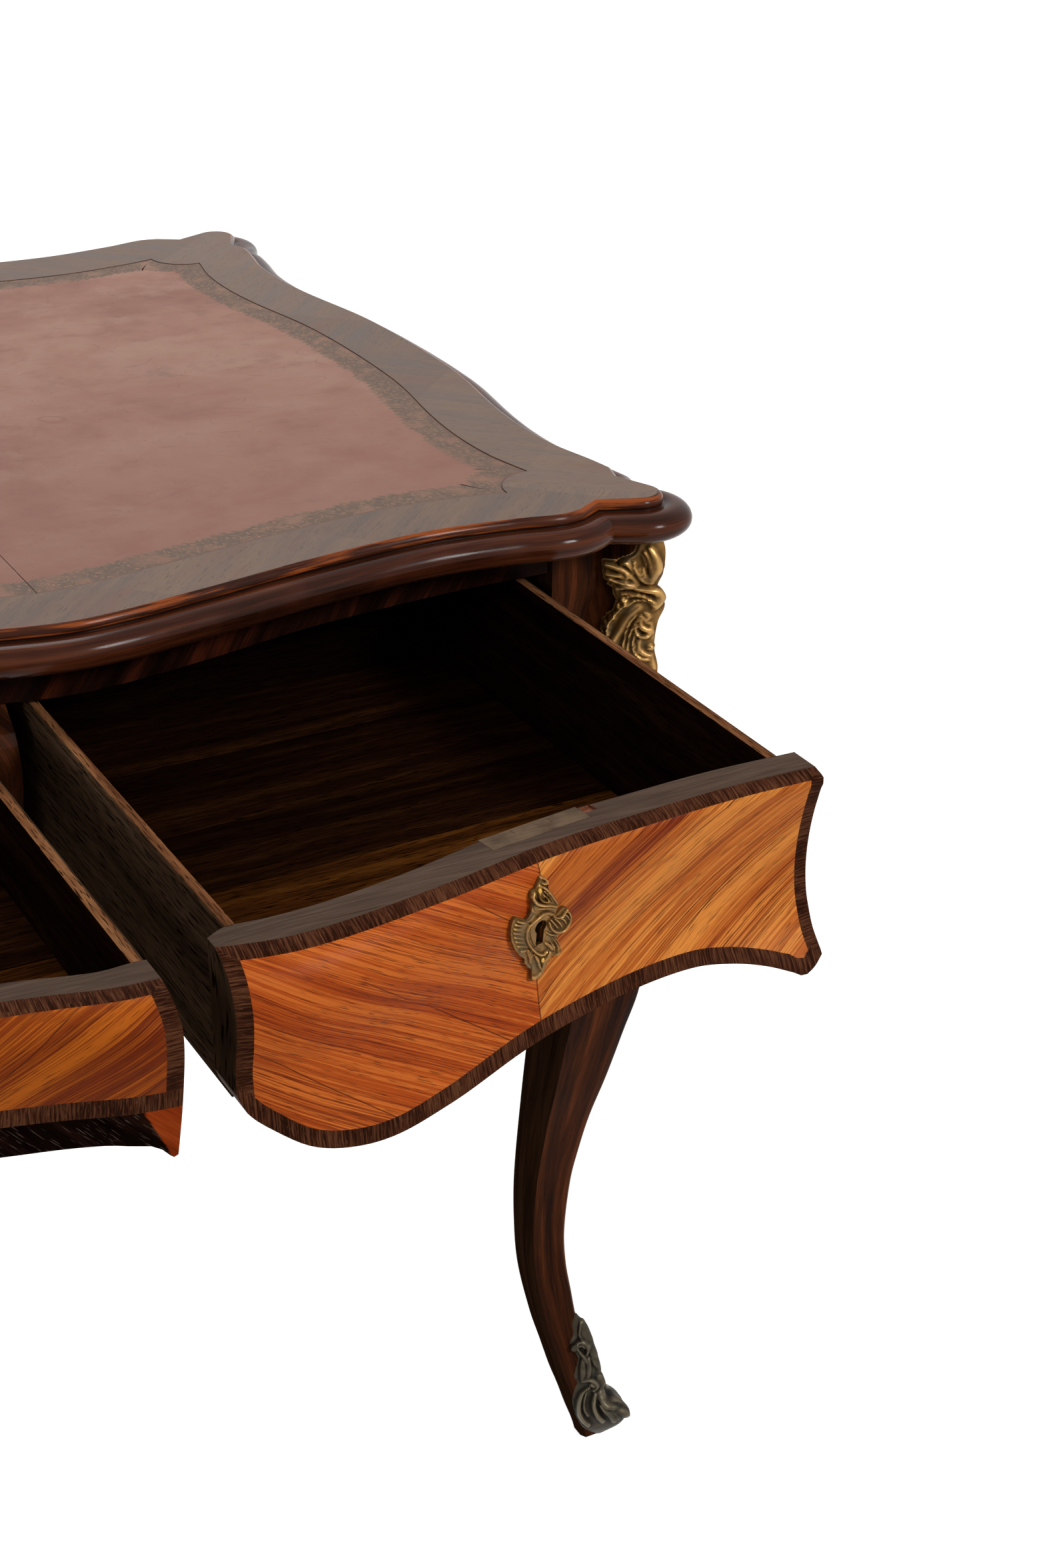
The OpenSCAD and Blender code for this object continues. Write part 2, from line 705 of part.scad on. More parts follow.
module top_core() {
    color("#7a5c3c")
        translate([0, 0, under])
            linear_extrude(height = edge_h - veneer_t)
                polygon(core_outline);
}
module top_moulding() {
    dirs = spread(edge_outline);
    rings = [for (i = [len(edge_section) - 1:-1:0])
        let (s = edge_section[i])
        [for (k = [0:len(edge_outline) - 1])
            let (
                q = edge_outline[k],
                near = max(0, 1 - norm([half_w - abs(q[0]), half_d - abs(q[1])]) / (1.2 * ear_w)),
                p = q + s[0] * (1 + ear_swell * near) * dirs[k]
            )
            [p[0], p[1], desk_h - s[1]]]];
    inner = [for (z = [desk_h - veneer_t, under]) [for (p = core_outline) [p[0], p[1], z]]];
    color("#45271b")
        frame_of(concat(rings, inner));
}
module border_veneer() {
    color("#6e5148")
        translate([0, 0, desk_h - veneer_t])
            linear_extrude(height = veneer_t)
                difference() {
                    polygon(edge_outline);
                    polygon(whole(panel_quarter(border_w, scoop_r)));
                }
}
module leather(from, to) {
    color("#a57d6e")
        translate([0, 0, desk_h - veneer_t])
            linear_extrude(height = veneer_t - leather_drop)
                intersection() {
                    polygon(whole(panel_quarter(border_w + 0.2, scoop_r)));
                    translate([from, -desk_d])
                        square([to - from, 2 * desk_d]);
                }
}

// A leg is square in plan. Both curves give distances in from the ear's tip, by height:
// its outer faces and its inner faces.
leg_out = [[0, 18.5], [20, 20], [50, 23.5], [80, 28], [106, 33], [130, 36], [155, 39],
    [185, 40], [231, 37], [259, 33], [292, 27], [328, 18.5], [368, 10], [410, 1.5],
    [470, -2], [530, -4], [570, -2], [600, 3]];
leg_in = [[0, 35], [10, 37], [24, 41], [42, 45.5], [58, 50], [82, 55.5], [106, 61], [150, 68],
    [190, 70], [231, 69.8], [300, 66], [359, 62], [410, 58.5], [480, 59], [560, 63]];
leg_out_k = concat(leg_out, [
    [drawer_top - 101, 18], [drawer_top - 89, 24], [drawer_top - 74, 29], [drawer_top - 54, 30],
    [drawer_top - 34, 29], [drawer_top - 16, 25], [drawer_top, 24], [under, 24]]);
leg_in_k = concat(leg_in, [[drawer_top - 110, post_in], [drawer_top, post_in], [under, post_in]]);
function out_at(z) = smooth(leg_out_k, z);
function in_at(z) = let (d = smooth(leg_in_k, z)) z > chute_foot ? min(d, post_in) : d;
chute_levels = [for (i = [0:24]) chute_foot + (under - chute_foot) * i / 24];
sabot_levels = [leg_foot, 14, 24, 34, 44, 58, 74, 90, sabot_h];
leg_levels = concat(
    sabot_levels,
    [for (z = [130:24:chute_foot - 12]) z],
    chute_levels
);

// Ring of a square with bevelled corners, from distances in from the ear's tip.
function square_ring(a, b, c, z) =
    [for (p = [
        [b - c, a], [a + c, a], [a, a + c], [a, b - c],
        [a + c, b], [b - c, b], [b, b - c], [b, a + c]
    ]) [half_w - p[0], p[1] - half_d, z]];

module leg(right, front) {
    color("#3d1f17")
        corner(right, front)
            difference() {
                tower([for (z = leg_levels) square_ring(out_at(z), in_at(z), leg_bevel, z)]);
                for (p = pin_places)
                    pin_at(p)
                        pin_hole(p[2]);
            }
}

// Corner mount: how far its edge stands out from the leg's edge, and how far its wings
// reach along the leg's faces, by the share of its height from foot to head.
chute_proud = [[0, 4.5], [0.13, 6.3], [0.24, 7.5], [0.34, 9.5], [0.4, 11], [0.45, 13],
    [0.5, 20], [0.58, 28], [0.656, 32], [0.706, 30.4], [0.775, 30.8], [0.82, 31], [0.86, 25.5],
    [0.9, 27.7], [0.96, 28.5], [1, 26]];
chute_wing = [[0, 3], [0.15, 7], [0.4, 7], [0.6, 5], [0.7, 4], [0.79, 3.2],
    [0.84, 3], [0.9, 4], [0.95, 4.5], [1, 3]];
function chute_ring(z) =
    let (
        s = (z - chute_foot) / (under - chute_foot),
        a = out_at(z),
        o = a - smooth(chute_proud, s),
        w = smooth(chute_wing, s),
        c = leg_bevel,
        far = o + (a - o) * 0.62 + w * 0.4,
        side = o + (a - o) * 0.3,
        r = 4
    )
    [for (p = [
        [a + w, a - chute_t * 0.5], [far, side], [o + r, o],
        [o, o + r], [side, far], [a - chute_t * 0.5, a + w],
        [a, a + w], [a, a + c], [a + c, a], [a + w, a]
    ]) [half_w - p[0], p[1] - half_d, z]];

module chute(right, front) {
    color("#b08a45")
        corner(right, front)
            difference() {
                tower([for (z = chute_levels) chute_ring(z)]);
                for (p = chute_pins)
                    pin_at(p)
                        pin_hole(p[2]);
            }
}

// Pins: [height, distance in from the leg's edge, thickness under the head].
chute_pins = [[chute_foot + 55, 4.2, 4], [chute_foot + 112, 4.2, 6]];
sabot_pins = [[sabot_h - 22, 11, 4]];
pin_places = concat(chute_pins, sabot_pins);
// Frame on the front face of the leg, with +Z out of the face.
module pin_at(p) {
    translate([half_w - out_at(p[0]) - p[1], out_at(p[0]) - half_d, p[0]])
        rotate([90, 0, 0])
            children();
}

pin_gap = 0.05;

// Bronze shoe: how far it stands out from the leg at front and at its scrolled toe.
toe = [[0, 0.6], [5, 5.3], [9, 9], [17, 14], [25, 16.4], [31, 14.3], [37, 12.6], [38.5, 6.3],
    [44, 4.4], [58, 4], [73, 4.2], [90, 3.9], [sabot_h, 3.2]];
toe_levels = [0, 5, 10, 17, 25, 31, 37, 38.5];
module sabot(right, front) {
    color("#7d6a3f")
        corner(right, front)
            difference() {
                tower([for (z = concat(toe_levels, [for (i = [4:8]) sabot_levels[i]]))
                    square_ring(
                        out_at(z) - max(smooth(toe, z), sabot_t),
                        in_at(z) + sabot_t,
                        leg_bevel + (z < 6 ? 5 : 1.5),
                        z
                    )]);
                tower([for (z = concat(sabot_levels, [sabot_h + 6]))
                    square_ring(out_at(z) - 0.1, in_at(z) + 0.1, leg_bevel, z)]);
                for (p = sabot_pins)
                    pin_at(p)
                        pin_hole(p[2]);
            }
}
module pin_hole(seat) {
    translate([0, 0, -pin_l])
        cylinder(r = pin_r + pin_gap, h = 2 * pin_l, $fn = 16);
    translate([0, 0, seat])
        cylinder(r = 2 * pin_r + pin_gap, h = pin_l, $fn = 16);
}
module mount_pins() {
    color("#c9a45a")
        for (right = [true, false], front = [true, false])
            corner(right, front)
                for (p = pin_places)
                    pin_at(p) {
                        translate([0, 0, -pin_l + 1])
                            cylinder(r = pin_r, h = pin_l + p[2] - 1, $fn = 16);
                        translate([0, 0, p[2]])
                            cylinder(r = 2 * pin_r, h = 1, $fn = 16);
                    }
}

// Plan of a strip between depths a and b behind the face, whose curve is cut in chords.
chord = 22;
function chord_y(x) =
    let (i = floor(x / chord), s = x / chord - i)
    (1 - s) * face_y(i * chord) + s * face_y((i + 1) * chord);
function face_strip(xa, xb, a, b) =
    let (xs = concat([xa], [for (i = [floor(xa / chord) + 1:ceil(xb / chord) - 1]) i * chord], [xb]))
    concat(
        [for (x = xs) [x, a - chord_y(x)]],
        [for (i = [len(xs) - 1:-1:0]) [xs[i], b - chord_y(xs[i])]]
    );
module front_rail() {
    color("#4a2419")
        difference() {
            translate([0, 0, rail_z])
                linear_extrude(height = rail_h)
                    polygon(face_strip(-post_x, post_x, 0, rail_d));
            for (side = [0, 1])
                mirror([side, 0, 0])
                    lock_place()
                        mortise();
            centre_place()
                mortise();
        }
}
module mortise() {
    translate([-bolt_l / 2 - 1, bolt_y - 1, rail_z - 5])
        cube([bolt_l + 2, bolt_t + 2, bolt_travel + 5]);
}

// Upright between two drawers, its face swelling like theirs.
stile_foot = drawer_top - 118;
function stile_profile() =
    let (y0 = face_y(stile_x))
    concat(
        [for (i = [0:16]) let (z = rail_z + (stile_foot + 10 - rail_z) * i / 16)
            [-y0 - smooth(swell_stile, max(drawer_top - z, 0)), z]],
        [[-y0 - 8, stile_foot], [-y0 + 30, stile_foot], [-y0 + 40, stile_foot + 10],
         [-y0 + 40, rail_z]]
    );
module stile() {
    color("#35191a")
        translate([stile_l, 0, 0])
            rotate([90, 0, 90])
                linear_extrude(height = stile_w)
                    polygon(stile_profile());
}

// End panel, drawn for the right end.
module side_panel() {
    rows = [for (i = [0:16])
        let (y = post_y * (i / 8 - 1), drop = smooth(drop_side, abs(y)))
        [for (r = concat(steps_up, [2]))
            let (
                z = r > 1 ? under : drawer_top - drop * (1 - r),
                t = max(drawer_top - z, 0)
            )
            [side_x(y) + smooth(swell_post, t) * 0.9, y, z]]];
    inner = [for (c = rows) [for (p = c) [side_x(p[1]) - panel_t, p[1], p[2]]]];
    color("#5a2a1c")
        turned_slab(rows, inner);
}
// The same solid for grids that face +X.
module turned_slab(face, back) {
    rotate([0, 0, 90])
        slab(
            [for (c = face) [for (p = c) [p[1], -p[0], p[2]]]],
            [for (c = back) [for (p = c) [p[1], -p[0], p[2]]]]
        );
}

module back_rail() {
    color("#5c4630")
        rotate([0, 0, 180]) {
            translate([0, 0, drawer_top - back_drop])
                linear_extrude(height = under - drawer_top + back_drop)
                    polygon(face_strip(-post_x, post_x, front_full, front_full + back_t));
            translate([0, 0, rail_z])
                linear_extrude(height = rail_h)
                    polygon(face_strip(-post_x, post_x, 0, front_full + eps));
        }
}
module back_stiles() {
    color("#35191a")
        for (side = [0, 1])
            rotate([0, 0, 180])
                mirror([side, 0, 0])
                    intersection() {
                        translate([stile_l, 0, 0])
                            rotate([90, 0, 90])
                                linear_extrude(height = stile_w)
                                    polygon(stile_profile());
                        linear_extrude(height = desk_h)
                            polygon(face_strip(stile_l, stile_r, -2 * stile_w, front_full));
                    }
}
// False fronts, cut behind to lie against the back board.
module false_outer() {
    color("#8a4a22")
        difference() {
            slab(outer_grid(0, true), outer_grid(front_full + back_t / 2, false));
            behind_fronts();
        }
}
module false_centre() {
    color("#8a4a22")
        difference() {
            slab(centre_grid(0, true), centre_grid(front_full + back_t / 2, false));
            behind_fronts();
        }
}
module behind_fronts() {
    linear_extrude(height = desk_h)
        polygon(face_strip(-post_x, post_x, front_full, front_full + 2 * back_t));
}
module back_escutcheons() {
    color("#b08a45")
        rotate([0, 0, 180]) {
            outer_escutcheon();
            mirror([1, 0, 0])
                outer_escutcheon();
            centre_escutcheon();
        }
}

// Boards and strips of the carcase, drawn for the right half.
partition_x = stile_x - board_t / 2;
bay_floor = side_z - run_gap;
centre_floor = centre_side_z - run_gap;
partition_foot = bay_floor - runner_h;
front_clear = face_y(stile_x) - 40;
// Where the back board's inner side is nearest between xa and xb.
function back_clear(xa, xb) =
    min([for (i = [0:8]) chord_y(xa + (xb - xa) * i / 8)]) - front_full - back_t;
function rail_back(x) = face_y(x) - rail_d - 1;
module partition() {
    color("#8a6b45")
        translate([partition_x, 0, 0])
            rotate([90, 0, 90])
                linear_extrude(height = board_t)
                    polygon([
                        [-front_clear, partition_foot],
                        [back_clear(partition_x, part_r), partition_foot],
                        [back_clear(partition_x, part_r), under],
                        [-rail_back(partition_x), under],
                        [-rail_back(partition_x), rail_z],
                        [-front_clear, rail_z]
                    ]);
}
module end_bearer() {
    color("#8a6b45")
        translate([post_x, -post_y, partition_foot])
            cube([board_t, 2 * post_y, under - partition_foot]);
}

// Strip from xa to xb, za to zb, along the drawers' way.
module strip(xa, xb, za, zb, ya, yb) {
    translate([xa, ya, za])
        cube([xb - xa, yb - ya, zb - za]);
}
part_r = partition_x + board_t;
way_a = -(half_d - 60);
way_b = half_d - 60;
stop_l = 18;
stop_gap = 0.5;
module pair() {
    for (side = [0, 1])
        mirror([side, 0, 0])
            children();
}
module drawer_runners() {
    color("#9a7a50")
        pair() {
            strip(part_r, box_l + runner_lap, partition_foot, bay_floor, -front_clear,
                back_clear(part_r, box_l + runner_lap));
            strip(box_r - runner_lap, post_x, partition_foot, bay_floor, way_a, way_b);
            strip(box_c - runner_lap, partition_x, centre_floor - runner_h, centre_floor,
                -front_clear, back_clear(box_c - runner_lap, partition_x));
        }
}
guide_h = 30;
module drawer_guides() {
    color("#9a7a50")
        pair() {
            guide(part_r, box_l - guide_gap, box_l + runner_lap, bay_floor, -front_clear, outer_end);
            guide(box_r + guide_gap, post_x, 0, bay_floor, way_a, outer_end);
            strip(box_c + guide_gap, partition_x, centre_floor, centre_floor + guide_h,
                -front_clear, centre_end + stop_gap);
            strip(box_c - runner_lap, partition_x, centre_floor, centre_floor + guide_h,
                centre_end + stop_gap, centre_end + stop_gap + stop_l);
        }
}
// A guide strip beside an outer drawer, with the stop block at its end.
module guide(xa, xb, xs, z, ya, end) {
    stop_a = xs > 0 ? xa : box_r - runner_lap;
    stop_b = xs > 0 ? xs : xb;
    strip(xa, xb, z, z + guide_h, ya, end + stop_gap);
    strip(stop_a, stop_b, z, z + guide_h, end + stop_gap, end + stop_gap + stop_l);
}
kicker_gap = 2;
module drawer_kickers() {
    kicker_z = drawer_top + kicker_gap;
    color("#9a7a50")
        pair() {
            strip(part_r, box_l + 2 * side_t, kicker_z, under, -rail_back(part_r),
                back_clear(part_r, box_l + 2 * side_t));
            strip(box_r - 2 * side_t, post_x, kicker_z, under, way_a + 30, way_b - 30);
            strip(box_c - 2 * side_t, partition_x, kicker_z, under,
                -rail_back(box_c - 2 * side_t), back_clear(box_c - 2 * side_t, partition_x));
        }
}

module oak() {
    color("#6b543c")
        children();
}
module carved_oak() {
    color("#4f3d2e")
        children();
}
module kingwood() {
    color("#b5632a")
        children();
}
module gilt() {
    color("#b08a45")
        children();
}
module iron() {
    color("#5f5a52")
        children();
}

top_core();
top_moulding();
border_veneer();
leather(-desk_w, -seam_x);  // leather_left
leather(-seam_x, seam_x);  // leather_centre
leather(seam_x, desk_w);  // leather_right
leg(false, true);  // leg_front_left
leg(true, true);  // leg_front_right
leg(false, false);  // leg_back_left
leg(true, false);  // leg_back_right
chute(false, true);  // chute_front_left
chute(true, true);  // chute_front_right
chute(false, false);  // chute_back_left
chute(true, false);  // chute_back_right
sabot(false, true);  // sabot_front_left
sabot(true, true);  // sabot_front_right
sabot(false, false);  // sabot_back_left
sabot(true, false);  // sabot_back_right
mount_pins();
front_rail();
mirror([1, 0, 0]) stile();  // stile_front_left
stile();  // stile_front_right
mirror([1, 0, 0]) side_panel();  // side_frieze_left
side_panel();  // side_frieze_right
back_rail();
back_stiles();
rotate([0, 0, 180]) false_outer();  // back_front_left
rotate([0, 0, 180]) false_centre();  // back_front_centre
mirror([0, 1, 0]) false_outer();  // back_front_right
back_escutcheons();
mirror([1, 0, 0]) partition();  // partition_left
partition();  // partition_right
pair() end_bearer();  // end_bearers
drawer_runners();
drawer_guides();
drawer_kickers();
left_drawer() carved_oak() outer_front();  // drawer_left_front
left_drawer() kingwood() outer_veneer();  // drawer_left_veneer
left_drawer() oak() outer_sides();  // drawer_left_sides
left_drawer() oak() outer_back();  // drawer_left_back
left_drawer() oak() outer_bottom();  // drawer_left_bottom
left_drawer() gilt() outer_escutcheon();  // drawer_left_escutcheon
left_drawer() iron() outer_lock();  // drawer_left_lock
left_drawer() iron() outer_bolt();  // drawer_left_bolt
centre_drawer() carved_oak() centre_front();  // drawer_centre_front
centre_drawer() kingwood() centre_veneer();  // drawer_centre_veneer
centre_drawer() oak() centre_sides();  // drawer_centre_sides
centre_drawer() oak() centre_back();  // drawer_centre_back
centre_drawer() oak() centre_bottom();  // drawer_centre_bottom
centre_drawer() gilt() centre_escutcheon();  // drawer_centre_escutcheon
centre_drawer() iron() centre_place() lock_case(0, 0, drawer_top - key_drop);  // drawer_centre_lock
centre_drawer() iron() centre_place() bolt();  // drawer_centre_bolt
right_drawer() carved_oak() outer_front();  // drawer_right_front
right_drawer() kingwood() outer_veneer();  // drawer_right_veneer
right_drawer() oak() outer_sides();  // drawer_right_sides
right_drawer() oak() outer_back();  // drawer_right_back
right_drawer() oak() outer_bottom();  // drawer_right_bottom
right_drawer() gilt() outer_escutcheon();  // drawer_right_escutcheon
right_drawer() iron() outer_lock();  // drawer_right_lock
right_drawer() iron() outer_bolt();  // drawer_right_bolt
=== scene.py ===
import math
import bpy
import bmesh
import numpy as np
from mathutils import Matrix, Vector


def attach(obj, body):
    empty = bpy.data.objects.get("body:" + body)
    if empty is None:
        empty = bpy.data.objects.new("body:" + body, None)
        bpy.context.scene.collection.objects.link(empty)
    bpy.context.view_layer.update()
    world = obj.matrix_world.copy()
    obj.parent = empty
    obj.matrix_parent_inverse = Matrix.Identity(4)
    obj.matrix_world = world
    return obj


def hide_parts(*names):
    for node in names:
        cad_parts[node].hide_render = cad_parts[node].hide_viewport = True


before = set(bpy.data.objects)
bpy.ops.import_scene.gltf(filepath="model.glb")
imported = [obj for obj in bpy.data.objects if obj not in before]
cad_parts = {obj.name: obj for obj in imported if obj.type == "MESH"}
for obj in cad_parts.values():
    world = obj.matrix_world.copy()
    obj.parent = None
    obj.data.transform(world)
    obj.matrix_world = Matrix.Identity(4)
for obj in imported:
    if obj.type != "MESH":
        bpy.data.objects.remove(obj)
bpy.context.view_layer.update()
mm = 0.001

# sizes in millimetres, the same as in the frame
desk = {
    "height": 780, "width": 1440, "depth": 732, "edge": 27, "veneer": 1.2,
    "border": 48, "scoop": 30, "seam": 311,
    "centreIn": 25, "bellyOut": 24, "waistIn": 8, "shoulderOut": 5,
    "endOut": 3, "endIn": 15, "earWidth": 41, "earIn": 8, "backMore": 10,
    "friezeIn": 13, "stile": 263, "stileWidth": 30, "postIn": 66, "frontGap": 2, "drawerTop": 724,
}
halfW, halfD = desk["width"] / 2, desk["depth"] / 2
under = desk["height"] - desk["edge"]
drawerTop = desk["drawerTop"]
postX, postY = halfW - desk["postIn"], halfD - desk["postIn"]
frontL = desk["stile"] + desk["stileWidth"] / 2 + desk["frontGap"]
frontR = postX - desk["frontGap"]
centreR = desk["stile"] - desk["stileWidth"] / 2 - desk["frontGap"]
drawerOpen = {"left": 0, "centre": 345, "right": 316}


def smooth(knots, t):
    # a soft curve through knots of [t, value]
    k = np.asarray(knots, float)
    x, y = k[:, 0], k[:, 1]
    lean = np.empty(len(x))
    lean[1:-1] = (y[2:] - y[:-2]) / (x[2:] - x[:-2])
    lean[0] = (y[1] - y[0]) / (x[1] - x[0])
    lean[-1] = (y[-1] - y[-2]) / (x[-1] - x[-2])
    t = np.asarray(t, float)
    i = np.clip(np.searchsorted(x, t, side="right") - 1, 0, len(x) - 2)
    w = x[i + 1] - x[i]
    s = (t - x[i]) / w
    return ((2 * s**3 - 3 * s**2 + 1) * y[i] + (s**3 - 2 * s**2 + s) * w * lean[i]
            + (3 * s**2 - 2 * s**3) * y[i + 1] + (s**3 - s**2) * w * lean[i + 1])


third = desk["stile"] / 3
bellyX, waistX, shoulderX = desk["stile"] + 58, halfW - 164, halfW - 72
flank = (waistX - bellyX) / 3
edgeKnots = [
    [-third, halfD - desk["centreIn"] + 1.5], [0, halfD - desk["centreIn"]],
    [third, halfD - desk["centreIn"] + 1.5], [2 * third, halfD - desk["centreIn"] * 0.44],
    [desk["stile"], halfD + desk["bellyOut"] * 0.52], [bellyX, halfD + desk["bellyOut"]],
    [bellyX + flank, halfD + desk["bellyOut"] * 0.58], [bellyX + 2 * flank, halfD],
    [waistX, halfD - desk["waistIn"]], [waistX + 60, halfD - desk["waistIn"] * 0.25],
    [shoulderX, halfD + desk["shoulderOut"]], [halfW - 54, halfD + desk["shoulderOut"] - 3.5],
]
endKnots = [
    [-50, halfW + desk["endOut"] - 1], [0, halfW + desk["endOut"]], [50, halfW + desk["endOut"] - 1],
    [90, halfW + desk["endOut"] - 4], [postY - 140, halfW - desk["endIn"] + desk["endOut"] + 0.5],
    [postY - 95, halfW - desk["endIn"]], [postY - 50, halfW - desk["endIn"] + 1.5],
    [postY - 10, halfW - desk["endIn"] * 0.4], [halfD - 58, halfW - desk["endIn"] * 0.23],
]


def edgeY(x):
    return smooth(edgeKnots, np.abs(x))


def edgeX(y):
    return smooth(endKnots, np.abs(y))


friezeIn = desk["friezeIn"]
faceKnots = [[x, float(edgeY(x)) - friezeIn] for x in
             (third, 0, third, 2 * third, desk["stile"], bellyX, bellyX + flank)]
faceKnots[0][0] = -third
faceKnots += [[bellyX + 2 * flank, float(edgeY(bellyX + 2 * flank)) - friezeIn - 3],
              [waistX, float(edgeY(waistX)) - friezeIn - 3.5], [waistX + 44, halfD - 27], [postX, halfD - 26]]
sideKnots = [[-50, halfW + desk["endOut"] - 14], [0, halfW + desk["endOut"] - friezeIn],
             [50, halfW + desk["endOut"] - 14], [120, halfW - 16],
             [postY - 100, halfW - desk["endIn"] - 11.5], [postY - 50, halfW - desk["endIn"] - 10.5],
             [postY, halfW - 24]]
swellStile = [[0, 0], [4, 8], [12, 17], [28, 23], [46, 22], [64, 18], [77, 19], [100, 21], [140, 26]]
swellInner = [[0, 0], [3, 12], [8, 21], [14, 26], [27, 26.5], [47, 22.5], [66, 17.5], [85, 11.5], [115, 1.5]]
swellMiddle = [[0, 0], [8, 6], [16, 9], [30, 10.5], [50, 8], [85, 0]]
swellPost = [[0, 0], [3, 9], [12, 6.5], [26, 2], [40, -1.4], [54, -3.4], [67, -3.7], [80, -2],
             [89, 1.2], [99, 6], [105, 11], [111, 16.5], [125, 24]]
centreBack = [[0, 0], [35, 0.3], [60, 5]]
thickKnots = [[0, 10.5], [11, 19.5], [20, 21.5], [45, 22.5], [110, 22.5], [152, 24.5],
              [200, 24.5], [261, 22.5], [323, 21.5], [frontR - frontL, 21]]
thinKnots = [[0, 20], [8, 19.9], [27, 17.3], [60, 17.4], [110, 18], [centreR + 1, 18]]
span = frontR - frontL
dropOuter = [[0, 76], [4, 86], [15, 97], [35, 111], [60, 118.5], [85, 120.5], [115, 117], [161, 109],
             [205, 104.5], [span - 120, 101], [span - 82, 101.5], [span - 57, 105.5], [span - 37, 110.7],
             [span - 21, 117.3], [span - 14.5, 120.3], [span - 7, 117.5], [span, 112]]
dropCentre = [[-100, 80], [0, 78], [100, 80], [centreR - 80, 82.4], [centreR - 36, 82.2],
              [centreR - 22, 85], [centreR - 14, 87], [centreR - 9, 90.5], [centreR - 5, 95.5],
              [centreR - 2, 98.5], [centreR, 97]]
dropSide = [[-50, 102], [0, 108], [50, 102], [120, 94], [postY - 100, 98], [postY - 40, 112], [postY, 120]]


def faceY(x):
    return smooth(faceKnots, np.abs(x))


def centreFace(x):
    return faceY(x) - smooth(centreBack, np.maximum(0, np.abs(x) - centreR + 60))


def swellOuter(x, t):
    s = (np.abs(x) - frontL) / span
    return (1 - s) * smooth(swellStile, t) + s * smooth(swellPost, t)


def swellCentre(x, t):
    s = (np.abs(x) / centreR) ** 1.5
    return (1 - s) * smooth(swellMiddle, t) + s * smooth(swellInner, t)


# meshes are gathered as sheets of quads with a grain map in metres
def newShape():
    return {"points": [], "faces": [], "uvs": [], "slots": []}


def addSheet(shape, grid, uv, slot=0):
    grid, uv = np.asarray(grid, float), np.asarray(uv, float)
    rows, cols = grid.shape[:2]
    base = len(shape["points"])
    shape["points"].extend(grid.reshape(-1, 3).tolist())
    for i in range(rows - 1):
        for j in range(cols - 1):
            ring = [(i, j), (i + 1, j), (i + 1, j + 1), (i, j + 1)]
            shape["faces"].append([base + a * cols + b for a, b in ring])
            shape["uvs"].append([tuple(uv[a, b]) for a, b in ring])
            shape["slots"].append(slot if np.isscalar(slot) else int(slot[i][j]))


def addFace(shape, points, uv, slot=0):
    base = len(shape["points"])
    shape["points"].extend([list(p) for p in points])
    shape["faces"].append(list(range(base, base + len(points))))
    shape["uvs"].append([tuple(p) for p in uv])
    shape["slots"].append(slot)


def finishShape(name, shape, materials, sharp=35):
    mesh = bpy.data.meshes.new(name)
    mesh.from_pydata([[c * mm for c in p] for p in shape["points"]], [], shape["faces"])
    layer = mesh.uv_layers.new(name="Grain")
    flat = [c * mm for ring in shape["uvs"] for pair in ring for c in pair]
    layer.data.foreach_set("uv", flat)
    mesh.polygons.foreach_set("material_index", shape["slots"])
    work = bmesh.new()
    work.from_mesh(mesh)
    # points that neighbouring sheets share become one
    bmesh.ops.remove_doubles(work, verts=work.verts, dist=0.004 * mm)
    bmesh.ops.recalc_face_normals(work, faces=work.faces)
    work.to_mesh(mesh)
    work.free()
    for material in materials:
        mesh.materials.append(material)
    piece = bpy.data.objects.new(name, mesh)
    bpy.context.scene.collection.objects.link(piece)
    shadeByAngle(piece, sharp)
    return piece


def shadeByAngle(piece, sharp):
    piece.data.polygons.foreach_set("use_smooth", [True] * len(piece.data.polygons))
    piece.data.set_sharp_from_angle(angle=math.radians(sharp))


def place(piece, body, slot, *nodes):
    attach(piece, body)
    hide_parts(*nodes)


# node materials
def linear(code):
    # sRGB hex to a linear colour
    rgb = [int(code[i:i + 2], 16) / 255 for i in (1, 3, 5)]
    return tuple(c / 12.92 if c <= 0.04045 else ((c + 0.055) / 1.055) ** 2.4 for c in rgb) + (1,)


def addNode(tree, kind, *values, stops=(), **settings):
    # values go to the inputs in use, in their order; a setting with a capital is an input's name
    node = tree.nodes.new("ShaderNode" + kind)
    named = {key: value for key, value in settings.items() if key[0].isupper()}
    for key, value in settings.items():
        if key not in named:
            setattr(node, key, value)
    if stops:
        marks = node.color_ramp.elements
        while len(marks) < len(stops):
            marks.new(0.5)
        for mark, (at, colour) in zip(marks, stops):
            mark.position = at
        for mark, (at, colour) in zip(marks, stops):
            mark.color = linear(colour)
    inUse = [socket for socket in node.inputs if socket.enabled]
    for socket, value in [*zip(inUse, values), *((node.inputs[key], named[key]) for key in named)]:
        if isinstance(value, bpy.types.NodeSocket):
            tree.links.new(value, socket)
        else:
            socket.default_value = linear(value) if isinstance(value, str) else value
    return next(socket for socket in node.outputs if socket.enabled)


def newMaterial(name, roughness, level, metallic=0):
    material = bpy.data.materials.new(name)
    material.use_nodes = True
    shader = material.node_tree.nodes["Principled BSDF"]
    for key, value in (("Roughness", roughness), ("Specular IOR Level", level), ("Metallic", metallic)):
        shader.inputs[key].default_value = value
    return material, material.node_tree


